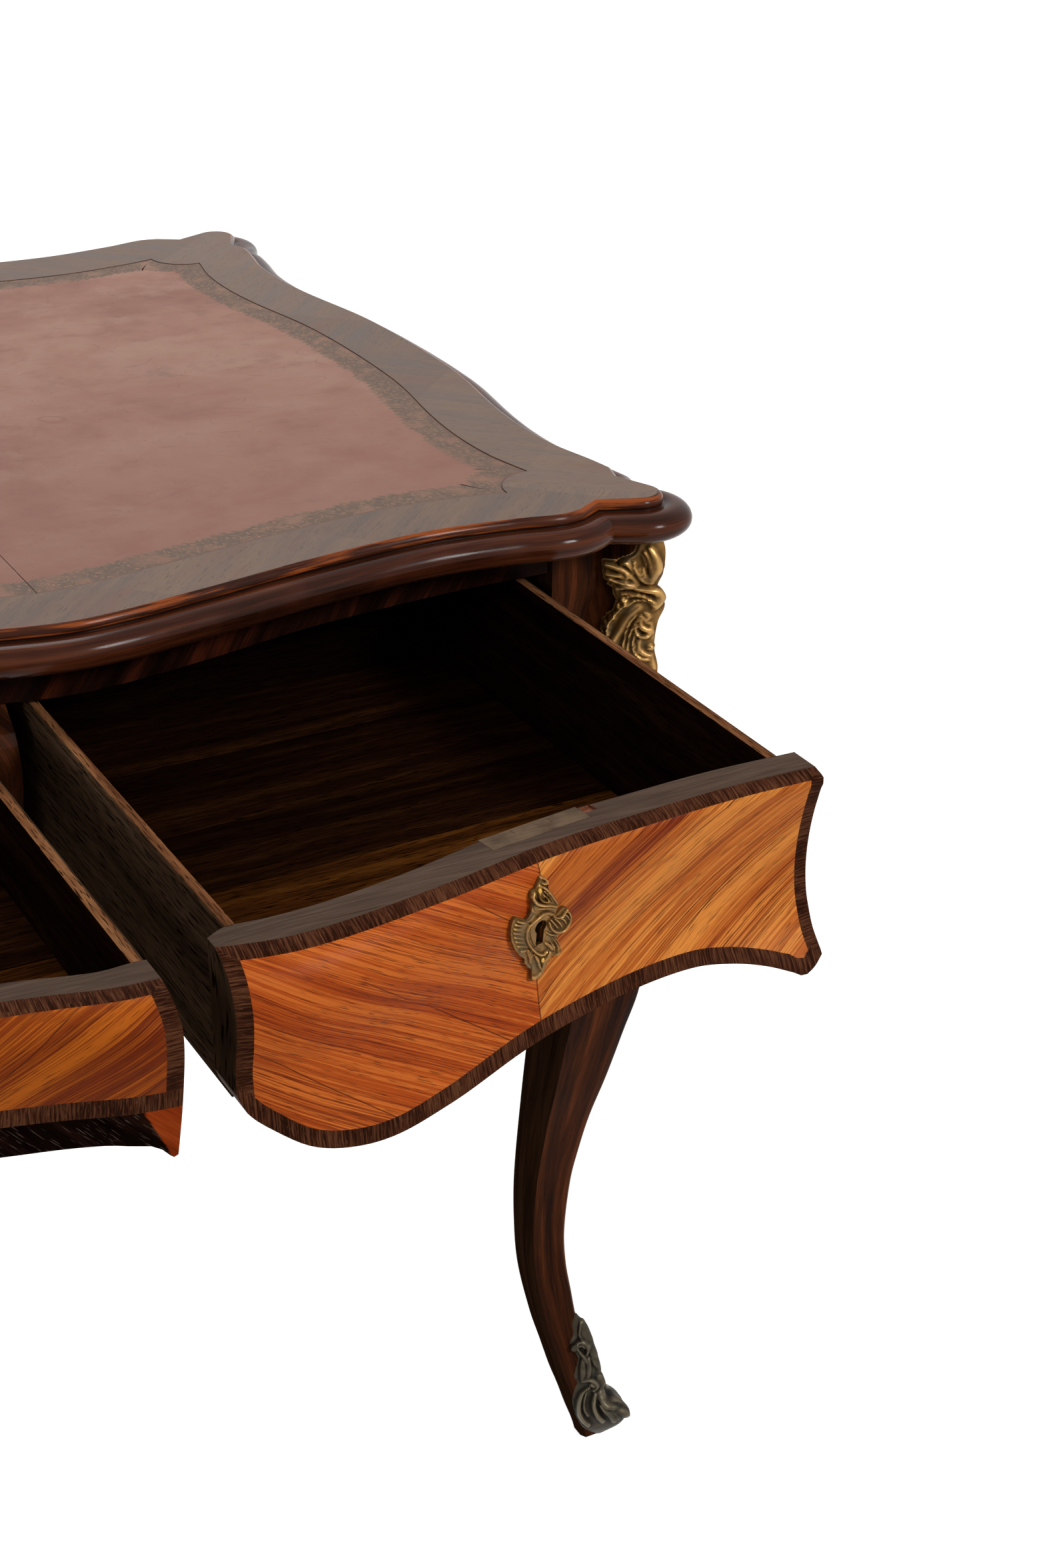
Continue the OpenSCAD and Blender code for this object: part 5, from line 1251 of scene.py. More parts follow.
# each line: points of (across, up, half width, height), and how deep a vein runs along its crest
chuteLines = [
    ([(37.2, 730.1, 2.1, 4.6), (31.4, 729, 2.4, 5.2), (23.9, 726, 2.4, 4.9), (16.4, 720.6, 2.2, 4),
      (12.1, 715.4, 2, 3)], 0.2),
    ([(37.2, 723.6, 1.5, 4.4), (32.1, 722.9, 1.8, 5.2), (25.9, 722.4, 2, 5.2), (20.5, 719.3, 1.6, 4)], 0),
    ([(34.5, 719.7, 1.6, 4.4), (27.9, 718.4, 2, 5.4), (21.3, 716.7, 2.8, 6.6), (15.4, 715.2, 2.3, 5)], 0.15),
    ([(29.1, 713.2, 1.6, 4.4), (23.7, 714.3, 2, 5.2), (17.9, 714.8, 2, 5.2), (12, 714, 1.6, 4)], 0.15),
    ([(24.9, 709.9, 1, 3.8), (20.3, 710.7, 1.1, 4.4), (14.5, 710.8, 1.1, 3.8)], 0),
    ([(24.9, 731.3, 1.8, 4.2), (22, 731.8, 2.3, 5.2), (18.6, 728.9, 2, 4.4), (16, 724.4, 1.5, 3)], 0),
    ([(21.4, 723.5, 1.5, 5.2), (20.1, 721.2, 1.3, 5)], 0),
    ([(15.5, 731.7, 1.1, 4.2), (14.7, 727.4, 1.3, 4.8), (11.8, 722.7, 1.4, 5), (7.6, 718.8, 1.3, 4.8),
      (3.1, 717.1, 1, 4.2)], 0),
    ([(4, 742.6, 2.4, 4.6), (1.6, 738.8, 2.8, 5.6), (-0.2, 733.6, 2.9, 6), (-0.7, 728.2, 2.8, 5.8),
      (1, 723.1, 2.1, 5), (2.8, 718.4, 1.3, 4)], 0.12),
    ([(7.7, 739.7, 1.8, 4.2), (4.6, 735.3, 2.1, 5), (3.1, 730.4, 2.1, 5.2), (2.6, 725, 1.8, 4.8),
      (3, 721.1, 1.1, 4)], 0),
    ([(9.4, 737, 1.3, 3.2), (7.1, 732.9, 1.5, 3.8), (6.1, 729.1, 1, 3)], 0),
    ([(8.2, 727.2, 1.6, 3.6), (7.3, 724, 1.8, 4.4), (4.7, 721.2, 1.1, 3.8)], 0.3),
    ([(11.5, 727.5, 0.6, 4.4), (10.5, 724.7, 0.7, 4.6), (7.2, 721.3, 0.7, 4.6), (3.4, 719.2, 0.6, 4.2)], 0),
    ([(14.1, 713.7, 2, 4.8), (7.9, 713.5, 2.6, 6), (2.4, 712.5, 2.9, 6.4), (-1.3, 708.9, 2.8, 6.2),
      (-2.1, 704.2, 2.3, 5.6), (-0.5, 700.3, 1.5, 4.4)], 0),
    ([(25.3, 709.3, 0.8, 4.4), (19.5, 710, 1, 5.4), (12.8, 710.1, 1.2, 6), (6.5, 708.8, 1.2, 6.3),
      (2, 705.7, 1.2, 6.3), (0.2, 701.8, 1.1, 5.8), (0.6, 699.3, 1, 4.8)], 0),
    ([(21.1, 707.3, 0.7, 4.6), (15.7, 708.4, 0.8, 5), (11.1, 708.3, 0.8, 5), (6.9, 707.2, 0.7, 4.6)], 0),
    ([(19.7, 701.2, 0.7, 4.6), (16.4, 704.2, 0.9, 4.9), (11.9, 705.8, 0.9, 5.1), (6.8, 705.8, 0.9, 5.1),
      (2.8, 703.9, 0.9, 4.9), (0.7, 700.9, 0.7, 4.6)], 0),
    ([(11.7, 700.3, 3.6, 3), (17.5, 695.8, 4, 3.5), (22, 689.8, 4.1, 3.7), (26.2, 683.1, 4, 3.7),
      (30.1, 677.1, 3.9, 3.6), (32.9, 671.5, 3.7, 3.4)], 0),
    ([(20.2, 705.4, 0.8, 4.8), (24.2, 700.2, 0.9, 5.1), (29, 695.3, 1, 5.1), (33.2, 689.7, 1, 4.9),
      (35.6, 683.6, 0.9, 4.7), (36.3, 678.9, 0.8, 4.4)], 0),
    ([(23.5, 706.1, 2, 4.6), (24.2, 704.1, 1.8, 4.2)], 0),
    ([(21.7, 704.2, 1.8, 5.6), (21.9, 701.1, 1.6, 5.2)], 0),
    ([(27.2, 701.7, 1.5, 3.8), (27.6, 699.4, 1.5, 3.6)], 0),
    ([(29.8, 695.2, 1.8, 5), (30.3, 692.1, 1.8, 4.8)], 0),
    ([(33.3, 693.7, 1.3, 3.4), (34, 690.6, 1.3, 3.2)], 0),
    ([(35, 687.6, 1.8, 4.8), (34.6, 685.2, 1.6, 4.6)], 0),
    ([(37.3, 689.7, 1.3, 3.2), (37.7, 685.8, 1.1, 3)], 0),
    ([(35.6, 682.8, 1.6, 4.6), (34.7, 680.3, 1.6, 4.2)], 0),
    ([(13.3, 694.4, 0.7, 4.4), (17.4, 690, 0.9, 4.7), (20.6, 683.2, 0.9, 4.8), (22.3, 676.1, 1, 4.7),
      (22.8, 670.6, 1, 4.4)], 0),
    ([(10.7, 693.7, 1, 4.2), (14.8, 687.7, 1.1, 4.6), (17.8, 680.9, 1.1, 4.8), (19.1, 673.8, 1.1, 4.6),
      (19.3, 669.1, 1.1, 4.2)], 0),
    ([(9, 692.2, 1, 3.8), (12.7, 685.8, 1, 4.2), (15.3, 680.2, 0.8, 3.8)], 0),
    ([(6.6, 696.2, 1.3, 3.8), (4, 694.7, 1.3, 4.4), (4.1, 692.3, 1, 3.8)], 0),
    ([(9.8, 694.5, 1, 4.4), (6.5, 692.2, 1.1, 4.8), (5.1, 689.2, 0.8, 4.2)], 0),
    ([(9.8, 691.4, 2, 4.2), (8.9, 687.1, 2.4, 5.2), (5.5, 684, 2.1, 5), (3.3, 682.9, 1.1, 4.2)], 0.25),
    ([(13.1, 687.7, 1.2, 4.8), (13.2, 683.4, 1.4, 5.4), (10.4, 680.2, 1.5, 5.8), (6.2, 679.7, 1.6, 6),
      (5.2, 682.1, 1.3, 5.2)], 0),
    ([(3.5, 689.2, 1, 3.4), (2.7, 683.7, 1.1, 4), (2.4, 678.2, 1, 3.4)], 0),
    ([(14.5, 679.5, 1.1, 4.8), (15.5, 673.9, 1.2, 5.2), (14.2, 668.8, 1.3, 5.4), (10.1, 664.6, 1.5, 5.6),
      (4.9, 663, 1.3, 5)], 0),
    ([(9.9, 677.2, 1.8, 4), (10.7, 672.1, 2.1, 4.8), (8, 667.8, 2, 4.8), (4.2, 665.5, 1.3, 4.2)], 0.25),
    ([(12.1, 677.6, 0.7, 4.4), (13.2, 672.4, 0.7, 4.6), (11, 667.7, 0.7, 4.2)], 0),
    ([(4.2, 672.5, 1.6, 5.6), (3.8, 670.6, 1.5, 5.2)], 0),
    ([(2.9, 666.3, 1.1, 3.6), (1.7, 660.8, 1.3, 4.2), (0.5, 656.1, 1.1, 3.6)], 0),
]


def chuteStrokes():
    s = list(chuteLines)
    # husks below, in pairs that shrink
    for k in range(12):
        z = 649 - 14.4 * k
        ridge = float(legOut(z) - smooth(chute["proud"], (z - chute["foot"]) / (under - chute["foot"])))
        ridge *= 1 + chute["slide"]
        wide = float(smooth(chute["edge"], z - 12)) - ridge
        s.append(([(ridge + 0.5, z, 3.0, 2.4), (ridge + 0.45 * wide, z - 4, 4.8, 3.6),
                   (ridge + 0.86 * wide, z - 13, 2.6, 2.4)], 0.3))
        s.append(([(ridge - 1, z - 2, 3.2, 2.4), (ridge + 0.12 * wide, z - 9, 3.6, 3.6),
                   (ridge + 0.2 * wide, z - 17, 1.8, 2.2)], 0.2))
    for z in (chute["foot"] + 55, chute["foot"] + 112):
        at = float(legOut(z)) * (1 + chute["slide"]) + 4.2
        s.append(([(at, z + 0.5, 3.6, 2.6), (at, z - 0.5, 3.6, 2.6)], 0.0))
    return s


def makeChute(name):
    z = np.concatenate([np.linspace(chute["foot"], 640, 90), np.linspace(640, under, 150)[1:]])
    wood = legOut(z)
    ridge = wood - smooth(chute["proud"], (z - chute["foot"]) / (under - chute["foot"]))
    taper = np.clip((z - chute["foot"]) / 7, 0.15, 1) ** 0.5
    ridge = wood + 1 - (wood + 0.2 - ridge) * taper
    outline = smooth(chute["edge"], z)
    edge = np.maximum(outline - chute["slide"] * wood, wood + np.clip((z - 640) / 12, 0, 1) * 6 + 2)
    return makeMount(name, chute, z, ridge, wood, edge, outline, 0.06, chuteStrokes(), giltBronze)


sabot = {
    "top": 110, "columns": 46, "sink": 1.0, "ground": 0.9, "slide": 0.56, "lean": (0.935, 0),
    "proud": [[0.4, 1.2], [5, 5.6], [9, 9.2], [14, 12.6], [20, 15.2], [25, 15.8], [30, 14.4], [34, 12.8],
              [38, 9.5], [41, 6.6], [46, 5.4], [58, 4.6], [73, 4.6], [90, 4.2], [104, 3.2], [110, 0.6]],
    "edge": [[0.4, 6], [4, 11], [10, 16.5], [20, 20.5], [30, 22.5], [40, 22], [48, 18.5], [52, 15.5],
             [58, 17], [64, 14.5], [72, 10.5], [80, 11.5], [88, 13.5], [93, 9], [98, 7.5], [104, 6.5],
             [110, 2]],
}


sabotLines = [
    ([(47.9, 134.2, 3, 2.4), (45.9, 125.8, 4.7, 3.2), (42.9, 115.8, 5.3, 3.4), (40.3, 106.7, 5.1, 3)], 0),
    ([(48.9, 133.6, 1.4, 2.8), (49.7, 127.2, 1.6, 3.6), (50, 122, 1.6, 3.6), (47.7, 115.7, 1.4, 3)], 0),
    ([(52.8, 112.2, 1.9, 3.8), (51.8, 114.9, 2, 4.4), (47.7, 114.5, 2.2, 4.8), (44.1, 110.8, 2.3, 4.9),
      (42.6, 104.8, 2.2, 4.6), (43.4, 100.6, 1.9, 4)], 0),
    ([(51.5, 110.9, 1.4, 3.6), (47.7, 111.1, 1.6, 4.4), (45.7, 107.8, 1.4, 3.8)], 0),
    ([(52.8, 110.4, 1.5, 4.4), (49, 104.1, 1.7, 4.8), (45.2, 97.7, 1.9, 4.6), (42.8, 91.3, 1.6, 3.8)], 0),
    ([(41.2, 107.9, 2.3, 3), (38.4, 98.7, 2.6, 3.6), (36.4, 92.5, 2.1, 3.2)], 0),
    ([(46.5, 99, 2.6, 3.6), (47.2, 91.2, 3.3, 4.4), (46.9, 83.8, 3.5, 4.4), (47.3, 78.9, 2.8, 3.6)], 0),
    ([(42.3, 95.7, 2.6, 3.8), (41.8, 88.2, 3, 4.6), (42.1, 81, 3, 4.4), (43.3, 76.9, 2.3, 3.6)], 0),
    ([(38.1, 95.9, 2.6, 3.4), (35.5, 88.6, 2.8, 4), (33.3, 82.3, 2.3, 3.8), (33.7, 78.7, 1.6, 3)], 0.2),
    ([(47.8, 75.9, 1.6, 4.2), (41.6, 75.5, 2.1, 5), (36.1, 71.2, 2.3, 5.4), (34.6, 65.8, 2.1, 5.2),
      (37.7, 63.3, 1.6, 4.4)], 0),
    ([(39.9, 71, 2.1, 5.8), (37.5, 68.1, 1.9, 5.4)], 0),
    ([(41.5, 67.8, 1.6, 4.6), (46.7, 66.5, 1.9, 5), (49.3, 60.9, 2.2, 5.3), (50, 52.9, 2.3, 5.4),
      (49.1, 45.1, 2.3, 5.3), (45.7, 37.3, 2.2, 5), (41, 30.8, 2.1, 4.6)], 0),
    ([(43.9, 61.6, 1.2, 2.6), (45.5, 54.8, 1.3, 3), (45, 47.2, 1.3, 3), (42, 39.5, 1.2, 2.6)], 0),
    ([(33.2, 75.8, 2.3, 3.8), (31.3, 67.7, 2.6, 4.2), (31.5, 62.3, 2.1, 3.6)], 0),
    ([(36, 59.9, 2.3, 4.8), (36.9, 53.3, 2.6, 5.4), (36.3, 45.7, 2.6, 5.4), (33.1, 37.4, 2.6, 5),
      (28.3, 30, 2.3, 4.4)], 0),
    ([(32.2, 60.7, 3, 4.6), (30.2, 53.5, 3.7, 5.6), (25.2, 45.5, 4.2, 6.4), (19.2, 40.4, 3.5, 5.4)], 0),
    ([(31.1, 47.4, 2.3, 4.4), (26.4, 39.9, 2.8, 5.2), (21.6, 34.3, 3, 5.4), (18.1, 26.8, 2.6, 4.8)], 0),
    ([(25.3, 50.6, 2.6, 3.6), (19.3, 47.4, 3, 4.4), (15, 43.4, 3, 4.6), (12.4, 38.1, 2.6, 4.2)], 0),
    ([(16.6, 37.9, 2.8, 4.6), (12.3, 33, 3.3, 5.4), (9.6, 27.2, 2.8, 4.8)], 0),
    ([(21.7, 39, 1.6, 4), (17.4, 33.6, 1.9, 4.6), (14.7, 27.4, 1.6, 4.2)], 0),
]


def makeSabot(name):
    z = np.linspace(leg["foot"], sabot["top"], 140)
    wood = legOut(z)
    ridge = wood - smooth(sabot["proud"], z) + 1.2
    edge = wood + smooth(sabot["edge"], z) - 1.5
    # the outline lies far beyond the edge, so all of it is bronze
    return makeMount(name, sabot, z, ridge, wood, edge, edge + 99, 0.1, sabotLines, darkBronze)


plate = {
    "rays": 260, "rings": 56, "ground": 2.9, "proud": 1.9, "dull": 0.22, "level": 12, "foot": -3, "rim": -0.5,
    "outline": [(6.4, 26.2), (6.2, 28), (4.2, 30.3), (2.3, 30.6), (0, 28.2), (-2, 25.5), (-5.1, 24.7),
                (-5.7, 22.1), (-4.7, 18.9), (-5.1, 15.9), (-5.3, 12.9), (-7.3, 10.4), (-10, 9.7),
                (-12.7, 12.1), (-15.3, 14.3), (-17.7, 13.8), (-18.9, 10.4), (-19, 5.6), (-17.9, 0.2),
                (-14.6, -6.9), (-10.4, -12.8), (-6.9, -16.2), (-6.8, -19.3), (-3.5, -23.7), (-0.4, -26.2),
                (-0.5, -28.9), (-2.5, -30.4), (-1.5, -32.1), (1.4, -32.5), (4.5, -30.7), (7.3, -29.4),
                (9.4, -26.8), (11.4, -24.2), (12.8, -22.3), (16.6, -24.8), (19, -22.9), (18.5, -19.5),
                (15.9, -14), (15.7, -10), (19.2, -9.6), (22.3, -6.4), (23.8, -2.6), (23, 1.6), (20.3, 5.6),
                (17.3, 7.2), (15, 5.6), (13.7, 4.2), (12.5, 6.3), (13.6, 8.5), (14, 11.3), (11.9, 15.1),
                (9.1, 19.1), (6.6, 22.9)],
    "pins": [(0.6, 24.2), (5.7, -22.3)], "pin": {"across": 1.35, "up": 1.7, "out": 3.6, "dome": 1.2},
}
plateLines = [
    ([(9.5, 5.5, 1, 4.2), (5.3, 9, 1.1, 4.4), (1.6, 8.5, 1.1, 4.6), (-2.6, 7, 1.2, 4.4),
      (-6.5, 4.7, 1.3, 4.2), (-7.9, 0.3, 1.3, 4.4), (-6.5, -5, 1.4, 4.6), (-2.8, -11.1, 1.3, 4.9),
      (1.8, -16.5, 1.1, 5.2), (6.1, -19, 1.1, 4.9), (8.4, -17.8, 1, 4.6)], 0),
    ([(-3.8, 4.7, 0.7, 3.4), (-4.6, 0.7, 0.7, 3.6), (-3.4, -4.9, 0.7, 3.8), (0.1, -10.6, 0.7, 3.6),
      (4.3, -14, 0.7, 3.4)], 0),
    ([(-14.8, 11.9, 1, 4.4), (-11.2, 9.9, 1.3, 4.6), (-6.8, 9, 1, 4.2), (-2.9, 10.4, 0.9, 3.6)], 0),
    ([(-16.2, 10.3, 1.1, 4.2), (-12.8, 8.5, 1.1, 4), (-9.3, 6.8, 1.1, 2.6)], 0),
    ([(-16.8, 7.9, 1.1, 4.4), (-13, 6.1, 1.1, 4.2), (-9.4, 4.3, 1.1, 2.6)], 0),
    ([(-16.9, 5.4, 1.1, 4.4), (-13.1, 3.4, 1.1, 4.2), (-9.5, 1.6, 1.1, 2.6)], 0),
    ([(-16.3, 2.4, 1.1, 4.4), (-12.4, 0.4, 1.1, 4.2), (-8.9, -1.3, 1.1, 2.6)], 0),
    ([(-15.2, -0.8, 1.1, 4.4), (-11.8, -2.7, 1.1, 4.2), (-8.1, -4.5, 1.1, 2.6)], 0),
    ([(-13.5, -4.5, 1.1, 4.4), (-10.1, -6, 1.1, 4.2), (-6.7, -7.6, 1.1, 2.6)], 0),
    ([(-10.9, -8.9, 1.3, 4.8), (-8.1, -9.7, 1.3, 4.6), (-5.1, -10.5, 1.3, 2.6)], 0),
    ([(-1.2, 10.9, 1.1, 3), (-4.3, 14, 1.3, 3.6), (-5.2, 17.2, 1.3, 3.6), (-4.4, 18.8, 1, 3.2)], 0),
    ([(-3.2, 24, 1.3, 4.6), (-4.2, 21.6, 1.4, 5.2), (-1.7, 17.6, 1.5, 5.4), (3, 14.6, 1.5, 5),
      (8.4, 12.1, 1.3, 4.4), (12.9, 9.4, 1, 3.8)], 0),
    ([(0.2, 23, 0.7, 5), (0.2, 20.2, 0.8, 5.1), (2.7, 17.1, 0.8, 5.1), (5.9, 15.6, 0.8, 4.9),
      (5.8, 17.6, 0.8, 4.6), (3.5, 20.1, 0.7, 4.2)], 0),
    ([(0.6, 26.5, 0.9, 4.4), (3.7, 24.7, 1.1, 5), (6.9, 20.8, 1.3, 5), (9.9, 16.2, 1.3, 4.8),
      (12.7, 11.9, 1, 4)], 0),
    ([(3.6, 22.7, 0.7, 4.4), (6.9, 18.7, 0.7, 4.8), (9.6, 14.2, 0.7, 4)], 0),
    ([(-2.5, 26.9, 1.3, 3), (-2.2, 29.9, 1.4, 3.3), (0.2, 31.2, 1.5, 3.7), (3, 30.6, 1.4, 4.2),
      (5.3, 28.7, 1.3, 4.8), (5.7, 26.9, 1, 5.1), (3.5, 26.9, 0.8, 4.8)], 0),
    ([(-6, 26.3, 1.1, 1.8), (-6.2, 22.6, 1.1, 1.8)], 0),
    ([(0.2, 13, 1.3, 3.4), (5.8, 11.3, 1.5, 3.8), (11.3, 8.5, 0.9, 3.2)], 0),
    ([(0.3, 7.9, 0.7, 4.6), (2.2, 9.2, 0.8, 4.9), (6.6, 8.5, 0.8, 5.1), (10.2, 6.1, 0.8, 5),
      (10.9, 3.7, 0.7, 4.4)], 0),
    ([(7.6, 2, 1, 5), (9.4, -2.6, 1.1, 5.1), (13.1, -6.5, 1.2, 5.2), (17.6, -8.3, 1.2, 5.2),
      (20.7, -7.1, 1.3, 5.1), (22.7, -4.6, 1.2, 5), (23.1, -1, 1.1, 4.8), (21.3, 2.9, 1, 4.6),
      (19.6, 3.9, 0.9, 4.4)], 0),
    ([(8.8, 3, 1, 4.4), (11.6, -0.7, 1.1, 4.8), (14.3, -4.6, 1, 4)], 0),
    ([(11.8, 2.5, 1, 4.6), (15, -1.2, 1.1, 5), (17.4, -5.1, 1, 4.2)], 0),
    ([(15.2, 1.9, 0.9, 4.6), (18.3, -0.9, 1, 4.8), (20.4, -4.3, 0.9, 4.2)], 0),
    ([(17.7, 3.1, 0.8, 4.4), (20.5, 0.7, 0.9, 4.6), (22.2, -2.5, 0.7, 4)], 0),
    ([(10.3, 4.9, 0.8, 4.8), (13.9, 2.2, 0.8, 4.9), (17.2, 2, 0.9, 5), (18.8, 3.9, 0.8, 4.8),
      (20.2, 4.9, 0.8, 4.6)], 0),
    ([(6.5, -4.2, 1, 3.8), (9.5, -7, 1.1, 4.2), (12.7, -8.9, 1.1, 4.1), (15.1, -10.7, 1, 3.6)], 0),
    ([(11, -8.6, 1.4, 4), (14.6, -13.7, 1.6, 4.6), (17, -18.9, 1.6, 4.8), (17, -22.3, 1.4, 4.6),
      (15.5, -23.3, 1, 4.2)], 0.3),
    ([(10.1, -12.1, 0.8, 3.8), (13.1, -16.6, 0.9, 4.4), (14.3, -20.9, 0.7, 4)], 0),
    ([(6.3, -11.1, 1.1, 4), (9.7, -14.5, 1.5, 4.8), (12.4, -18.1, 1.3, 4.4)], 0.2),
    ([(7, -8.8, 0.8, 3.4), (8.2, -7.8, 0.8, 3.4)], 0),
    ([(-5.5, -11.5, 1.6, 4.4), (-3.7, -16.2, 1.8, 4.8), (-2.8, -20.1, 1.7, 4.4),
      (-1.4, -22.3, 1.3, 3.4)], 0.25),
    ([(-0.2, -16.5, 1.1, 4.2), (2.3, -21.1, 1.4, 4.8), (3.7, -25.3, 1.3, 4.6), (5.7, -29.1, 1, 4)], 0.15),
    ([(10.8, -19.8, 1.5, 4.4), (9.4, -22, 1.7, 5), (7.1, -24.1, 1.7, 5.2), (6.4, -27, 1.6, 4.8),
      (5.4, -29.5, 1.3, 4)], 0.2),
    ([(5.7, -29.6, 1.5, 4), (3.3, -30.9, 1.6, 4.3), (0.2, -31, 1.6, 4.5), (-2.4, -29.5, 1.4, 4.4),
      (-2.9, -27.9, 1.3, 3.8)], 0.2),
]


def makePlate(name, faceAt, cx):
    drop = front["keyDrop"]
    turn = np.linspace(0, 2 * math.pi, plate["rays"] + 1)[:-1]
    ray = column(np.cos(turn), np.sin(turn))
    ends = np.array(plate["outline"] + plate["outline"][:1]) - plateHole["at"]
    reach = np.full(len(turn), 1.0)
    for p, q in zip(ends, ends[1:]):
        # where each ray crosses this side of the outline
        side = q - p
        det = ray[:, 1] * side[0] - ray[:, 0] * side[1]
        det = np.where(np.abs(det) < 1e-9, 1e-9, det)
        r = (p[1] * side[0] - p[0] * side[1]) / det
        k = (ray[:, 0] * p[1] - ray[:, 1] * p[0]) / det
        reach = np.where((r > 0) & (k >= 0) & (k <= 1), np.maximum(reach, r), reach)
    # keyhole outline, seen from its round end's centre
    hole = np.full(len(turn), plateHole["round"])
    down = np.sin(turn) < -0.3
    slot = np.minimum(plateHole["down"] / np.maximum(-ray[:, 1], 1e-6),
                      plateHole["slot"] / np.maximum(np.abs(ray[:, 0]), 1e-6))
    hole = np.where(down, np.maximum(hole, slot), hole)
    share = np.linspace(0, 1, plate["rings"])[:, None]
    r = hole + (reach - hole) * share
    x, z = plateHole["at"][0] + ray[:, 0] * r, plateHole["at"][1] + ray[:, 1] * r
    lift = carve(x, z, plateLines, plate["ground"])
    # the sheet is lapped round before it is levelled, so that its ends agree
    n = plate["level"]
    levelled = blur(np.concatenate([lift[:, -n:], lift, lift[:, :n]], 1), n)[:, n:-n]
    proud = plate["proud"] * (lift - levelled) - plate["dull"]
    rows = [np.full(len(turn), plate["foot"]), *lift, np.full(len(turn), plate["rim"])]
    xs = np.vstack([x[:1], x, x[-1:]])
    zs = np.vstack([z[:1], z, z[-1:]])
    # the keyhole's wall is given a tone 1 mm lower, so it is darker: painted shade in the keyhole
    tones = np.vstack([proud[:1] - 1, proud, proud[-1:]])
    grid = column(cx + xs, -faceAt(cx + xs, drop - zs) - rows, drawerTop - drop + zs)
    shape = newShape()
    addSheet(shape, closed(grid), column(closed(tones[..., None])[..., 0], closed(zs[..., None])[..., 0]))
    piece = finishShape(name, shape, [giltBronze], sharp=60)
    # two brass pins hold the plate
    pins, pin = newShape(), plate["pin"]
    arc, girth = np.radians(np.linspace(90, 0, 6))[:, None], np.radians(np.arange(0, 360, 24))
    for px, pz in plate["pins"]:
        x = cx + px + pin["across"] * np.cos(arc) * np.cos(girth)
        z = drawerTop - drop + pz + pin["up"] * np.cos(arc) * np.sin(girth)
        dome = column(x, -faceAt(x, drawerTop - z) - pin["out"] - pin["dome"] * np.sin(arc), z)
        foot = dome[-1:] + [0, pin["out"], 0]
        dome = closed(np.concatenate([dome, foot]))
        addSheet(pins, dome, np.full(dome.shape[:2] + (2,), 1.2))
    return piece, finishShape(name + "Pins", pins, [brassPin], sharp=60)


print("chasing the mounts")
for at, matrix in corners.items():
    place(toMesh(makeChute("chute" + inWords(at)), matrix), "desk", "gilt_bronze", "chute_" + at)
    place(toMesh(makeSabot("sabot" + inWords(at)), matrix), "desk", "dark_bronze", "sabot_" + at)
for side, style in styles.items():
    at = 0 if side == "centre" else lockX
    for move, body, node in ((moves[side], "drawer_" + side, f"drawer_{side}_escutcheon"),
                             (backMoves[side], "desk", "back_escutcheons")):
        for piece in makePlate(body + side.capitalize() + "Plate", style["face"], at):
            place(toMesh(piece, move), body, "gilt_bronze", node)


# finishes of the frame's own pieces
dress = {
    carcaseOakX: ("top_core", "back_rail"),
    carcaseOakY: ("partition_left", "partition_right", "end_bearers", "drawer_runners", "drawer_guides",
                  "drawer_kickers"),
    darkVeneer: ("stile_front_left", "stile_front_right", "back_stiles"),
    railVeneer: ("front_rail",), darkBronze: ("mount_pins",),
    **{material: [f"drawer_{side}_{kind}" for side in drawerOpen]
       for material, kind in ((backOak, "back"), (lockIron, "lock"), (boltIron, "bolt"))},
}
for material, nodes in dress.items():
    for node in nodes:
        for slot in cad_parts[node].material_slots:
            slot.material = material


# floor, light and camera
studio = {"floor": 40, "floorColour": "#bdbbb6", "floorCloud": "#bab8b3", "floorGlow": 0.9, "world": 0.3}
white = linear("#ffffff")


def backgroundRays(tree):
    # 1 for camera, glossy and transmission rays, which see the background
    path = addNode(tree, "LightPath").node.outputs
    seen = addNode(tree, "Math", path["Is Camera Ray"], path["Is Glossy Ray"], operation="MAXIMUM")
    return addNode(tree, "Math", seen, path["Is Transmission Ray"], operation="MAXIMUM")


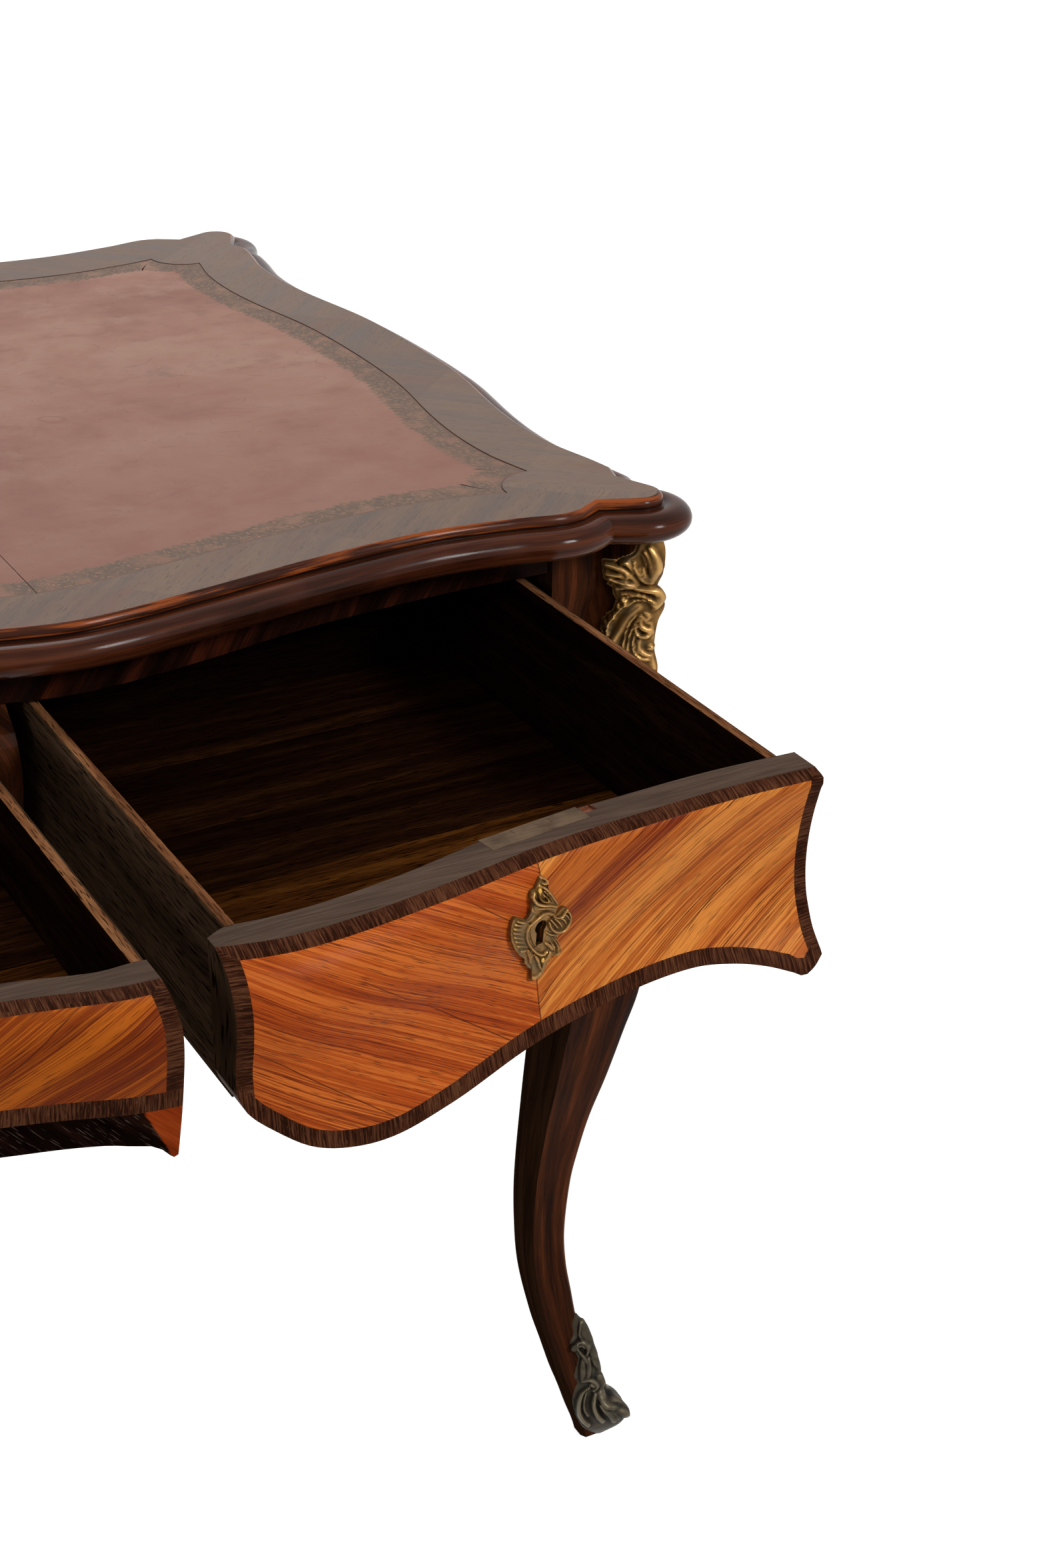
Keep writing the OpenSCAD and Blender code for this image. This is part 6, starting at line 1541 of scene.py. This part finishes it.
def makeFloor():
    shape = newShape()
    xs = np.linspace(-500, 500, 9) * studio["floor"]
    grid = column(xs, xs[:, None], 0.0)
    addSheet(shape, grid, grid[..., :2])
    material, tree = newMaterial("paperSweep", 0.9, 0.1)
    shader = tree.nodes["Principled BSDF"]
    cloud = addNode(tree, "TexNoise", Scale=3, Detail=2)
    base = addNode(tree, "Mix", cloud, studio["floorColour"], studio["floorCloud"], data_type="RGBA")
    tree.links.new(base, shader.inputs["Base Color"])
    glow = addNode(tree, "Math", backgroundRays(tree), studio["floorGlow"], operation="MULTIPLY")
    tree.links.new(glow, shader.inputs["Emission Strength"])
    shader.inputs["Emission Color"].default_value = white
    return finishShape("floorSheet", shape, [material])


def makeWorld():
    world = bpy.data.worlds.new("studio")
    bpy.context.scene.world = world
    world.use_nodes = True
    tree = world.node_tree
    back = tree.nodes["Background"].inputs
    back["Color"].default_value = white
    tree.links.new(addNode(tree, "MapRange", backgroundRays(tree), 0, 1, studio["world"], 1), back["Strength"])


lamps = {
    "key": {"at": (2.0, -3.7, 2.9), "to": (0.4, -0.5, 0.65), "size": 0.9, "power": 92},
    "fill": {"at": (-3.2, -2.6, 2.4), "to": (0.3, -0.4, 0.6), "size": 1.2, "power": 26},
    "top": {"at": (0.5, 1.3, 3.5), "to": (0.4, -0.2, 0.75), "size": 1.6, "power": 42},
}


def addLamps():
    for name, lamp in lamps.items():
        data = bpy.data.lights.new(name, "AREA")
        data.shape, data.size, data.energy = "SQUARE", lamp["size"], lamp["power"]
        item = bpy.data.objects.new(name, data)
        item.location = lamp["at"]
        item.rotation_euler = (Vector(lamp["to"]) - Vector(lamp["at"])).to_track_quat("-Z", "Y").to_euler()
        bpy.context.scene.collection.objects.link(item)


view = {"at": (-0.11405, -1.74390, 1.37106), "turn": (63.511, 0, -28.096), "lens": 60.459}


def addCamera():
    data = bpy.data.cameras.new("camera")
    data.sensor_fit, data.sensor_height, data.sensor_width, data.lens = "VERTICAL", 36, 36, view["lens"]
    item = bpy.data.objects.new("camera", data)
    item.location = view["at"]
    item.rotation_euler = [math.radians(a) for a in view["turn"]]
    bpy.context.scene.collection.objects.link(item)
    bpy.context.scene.camera = item


print("setting up the studio")
makeFloor()
makeWorld()
addLamps()
addCamera()
bpy.context.scene.view_settings.view_transform = "Standard"
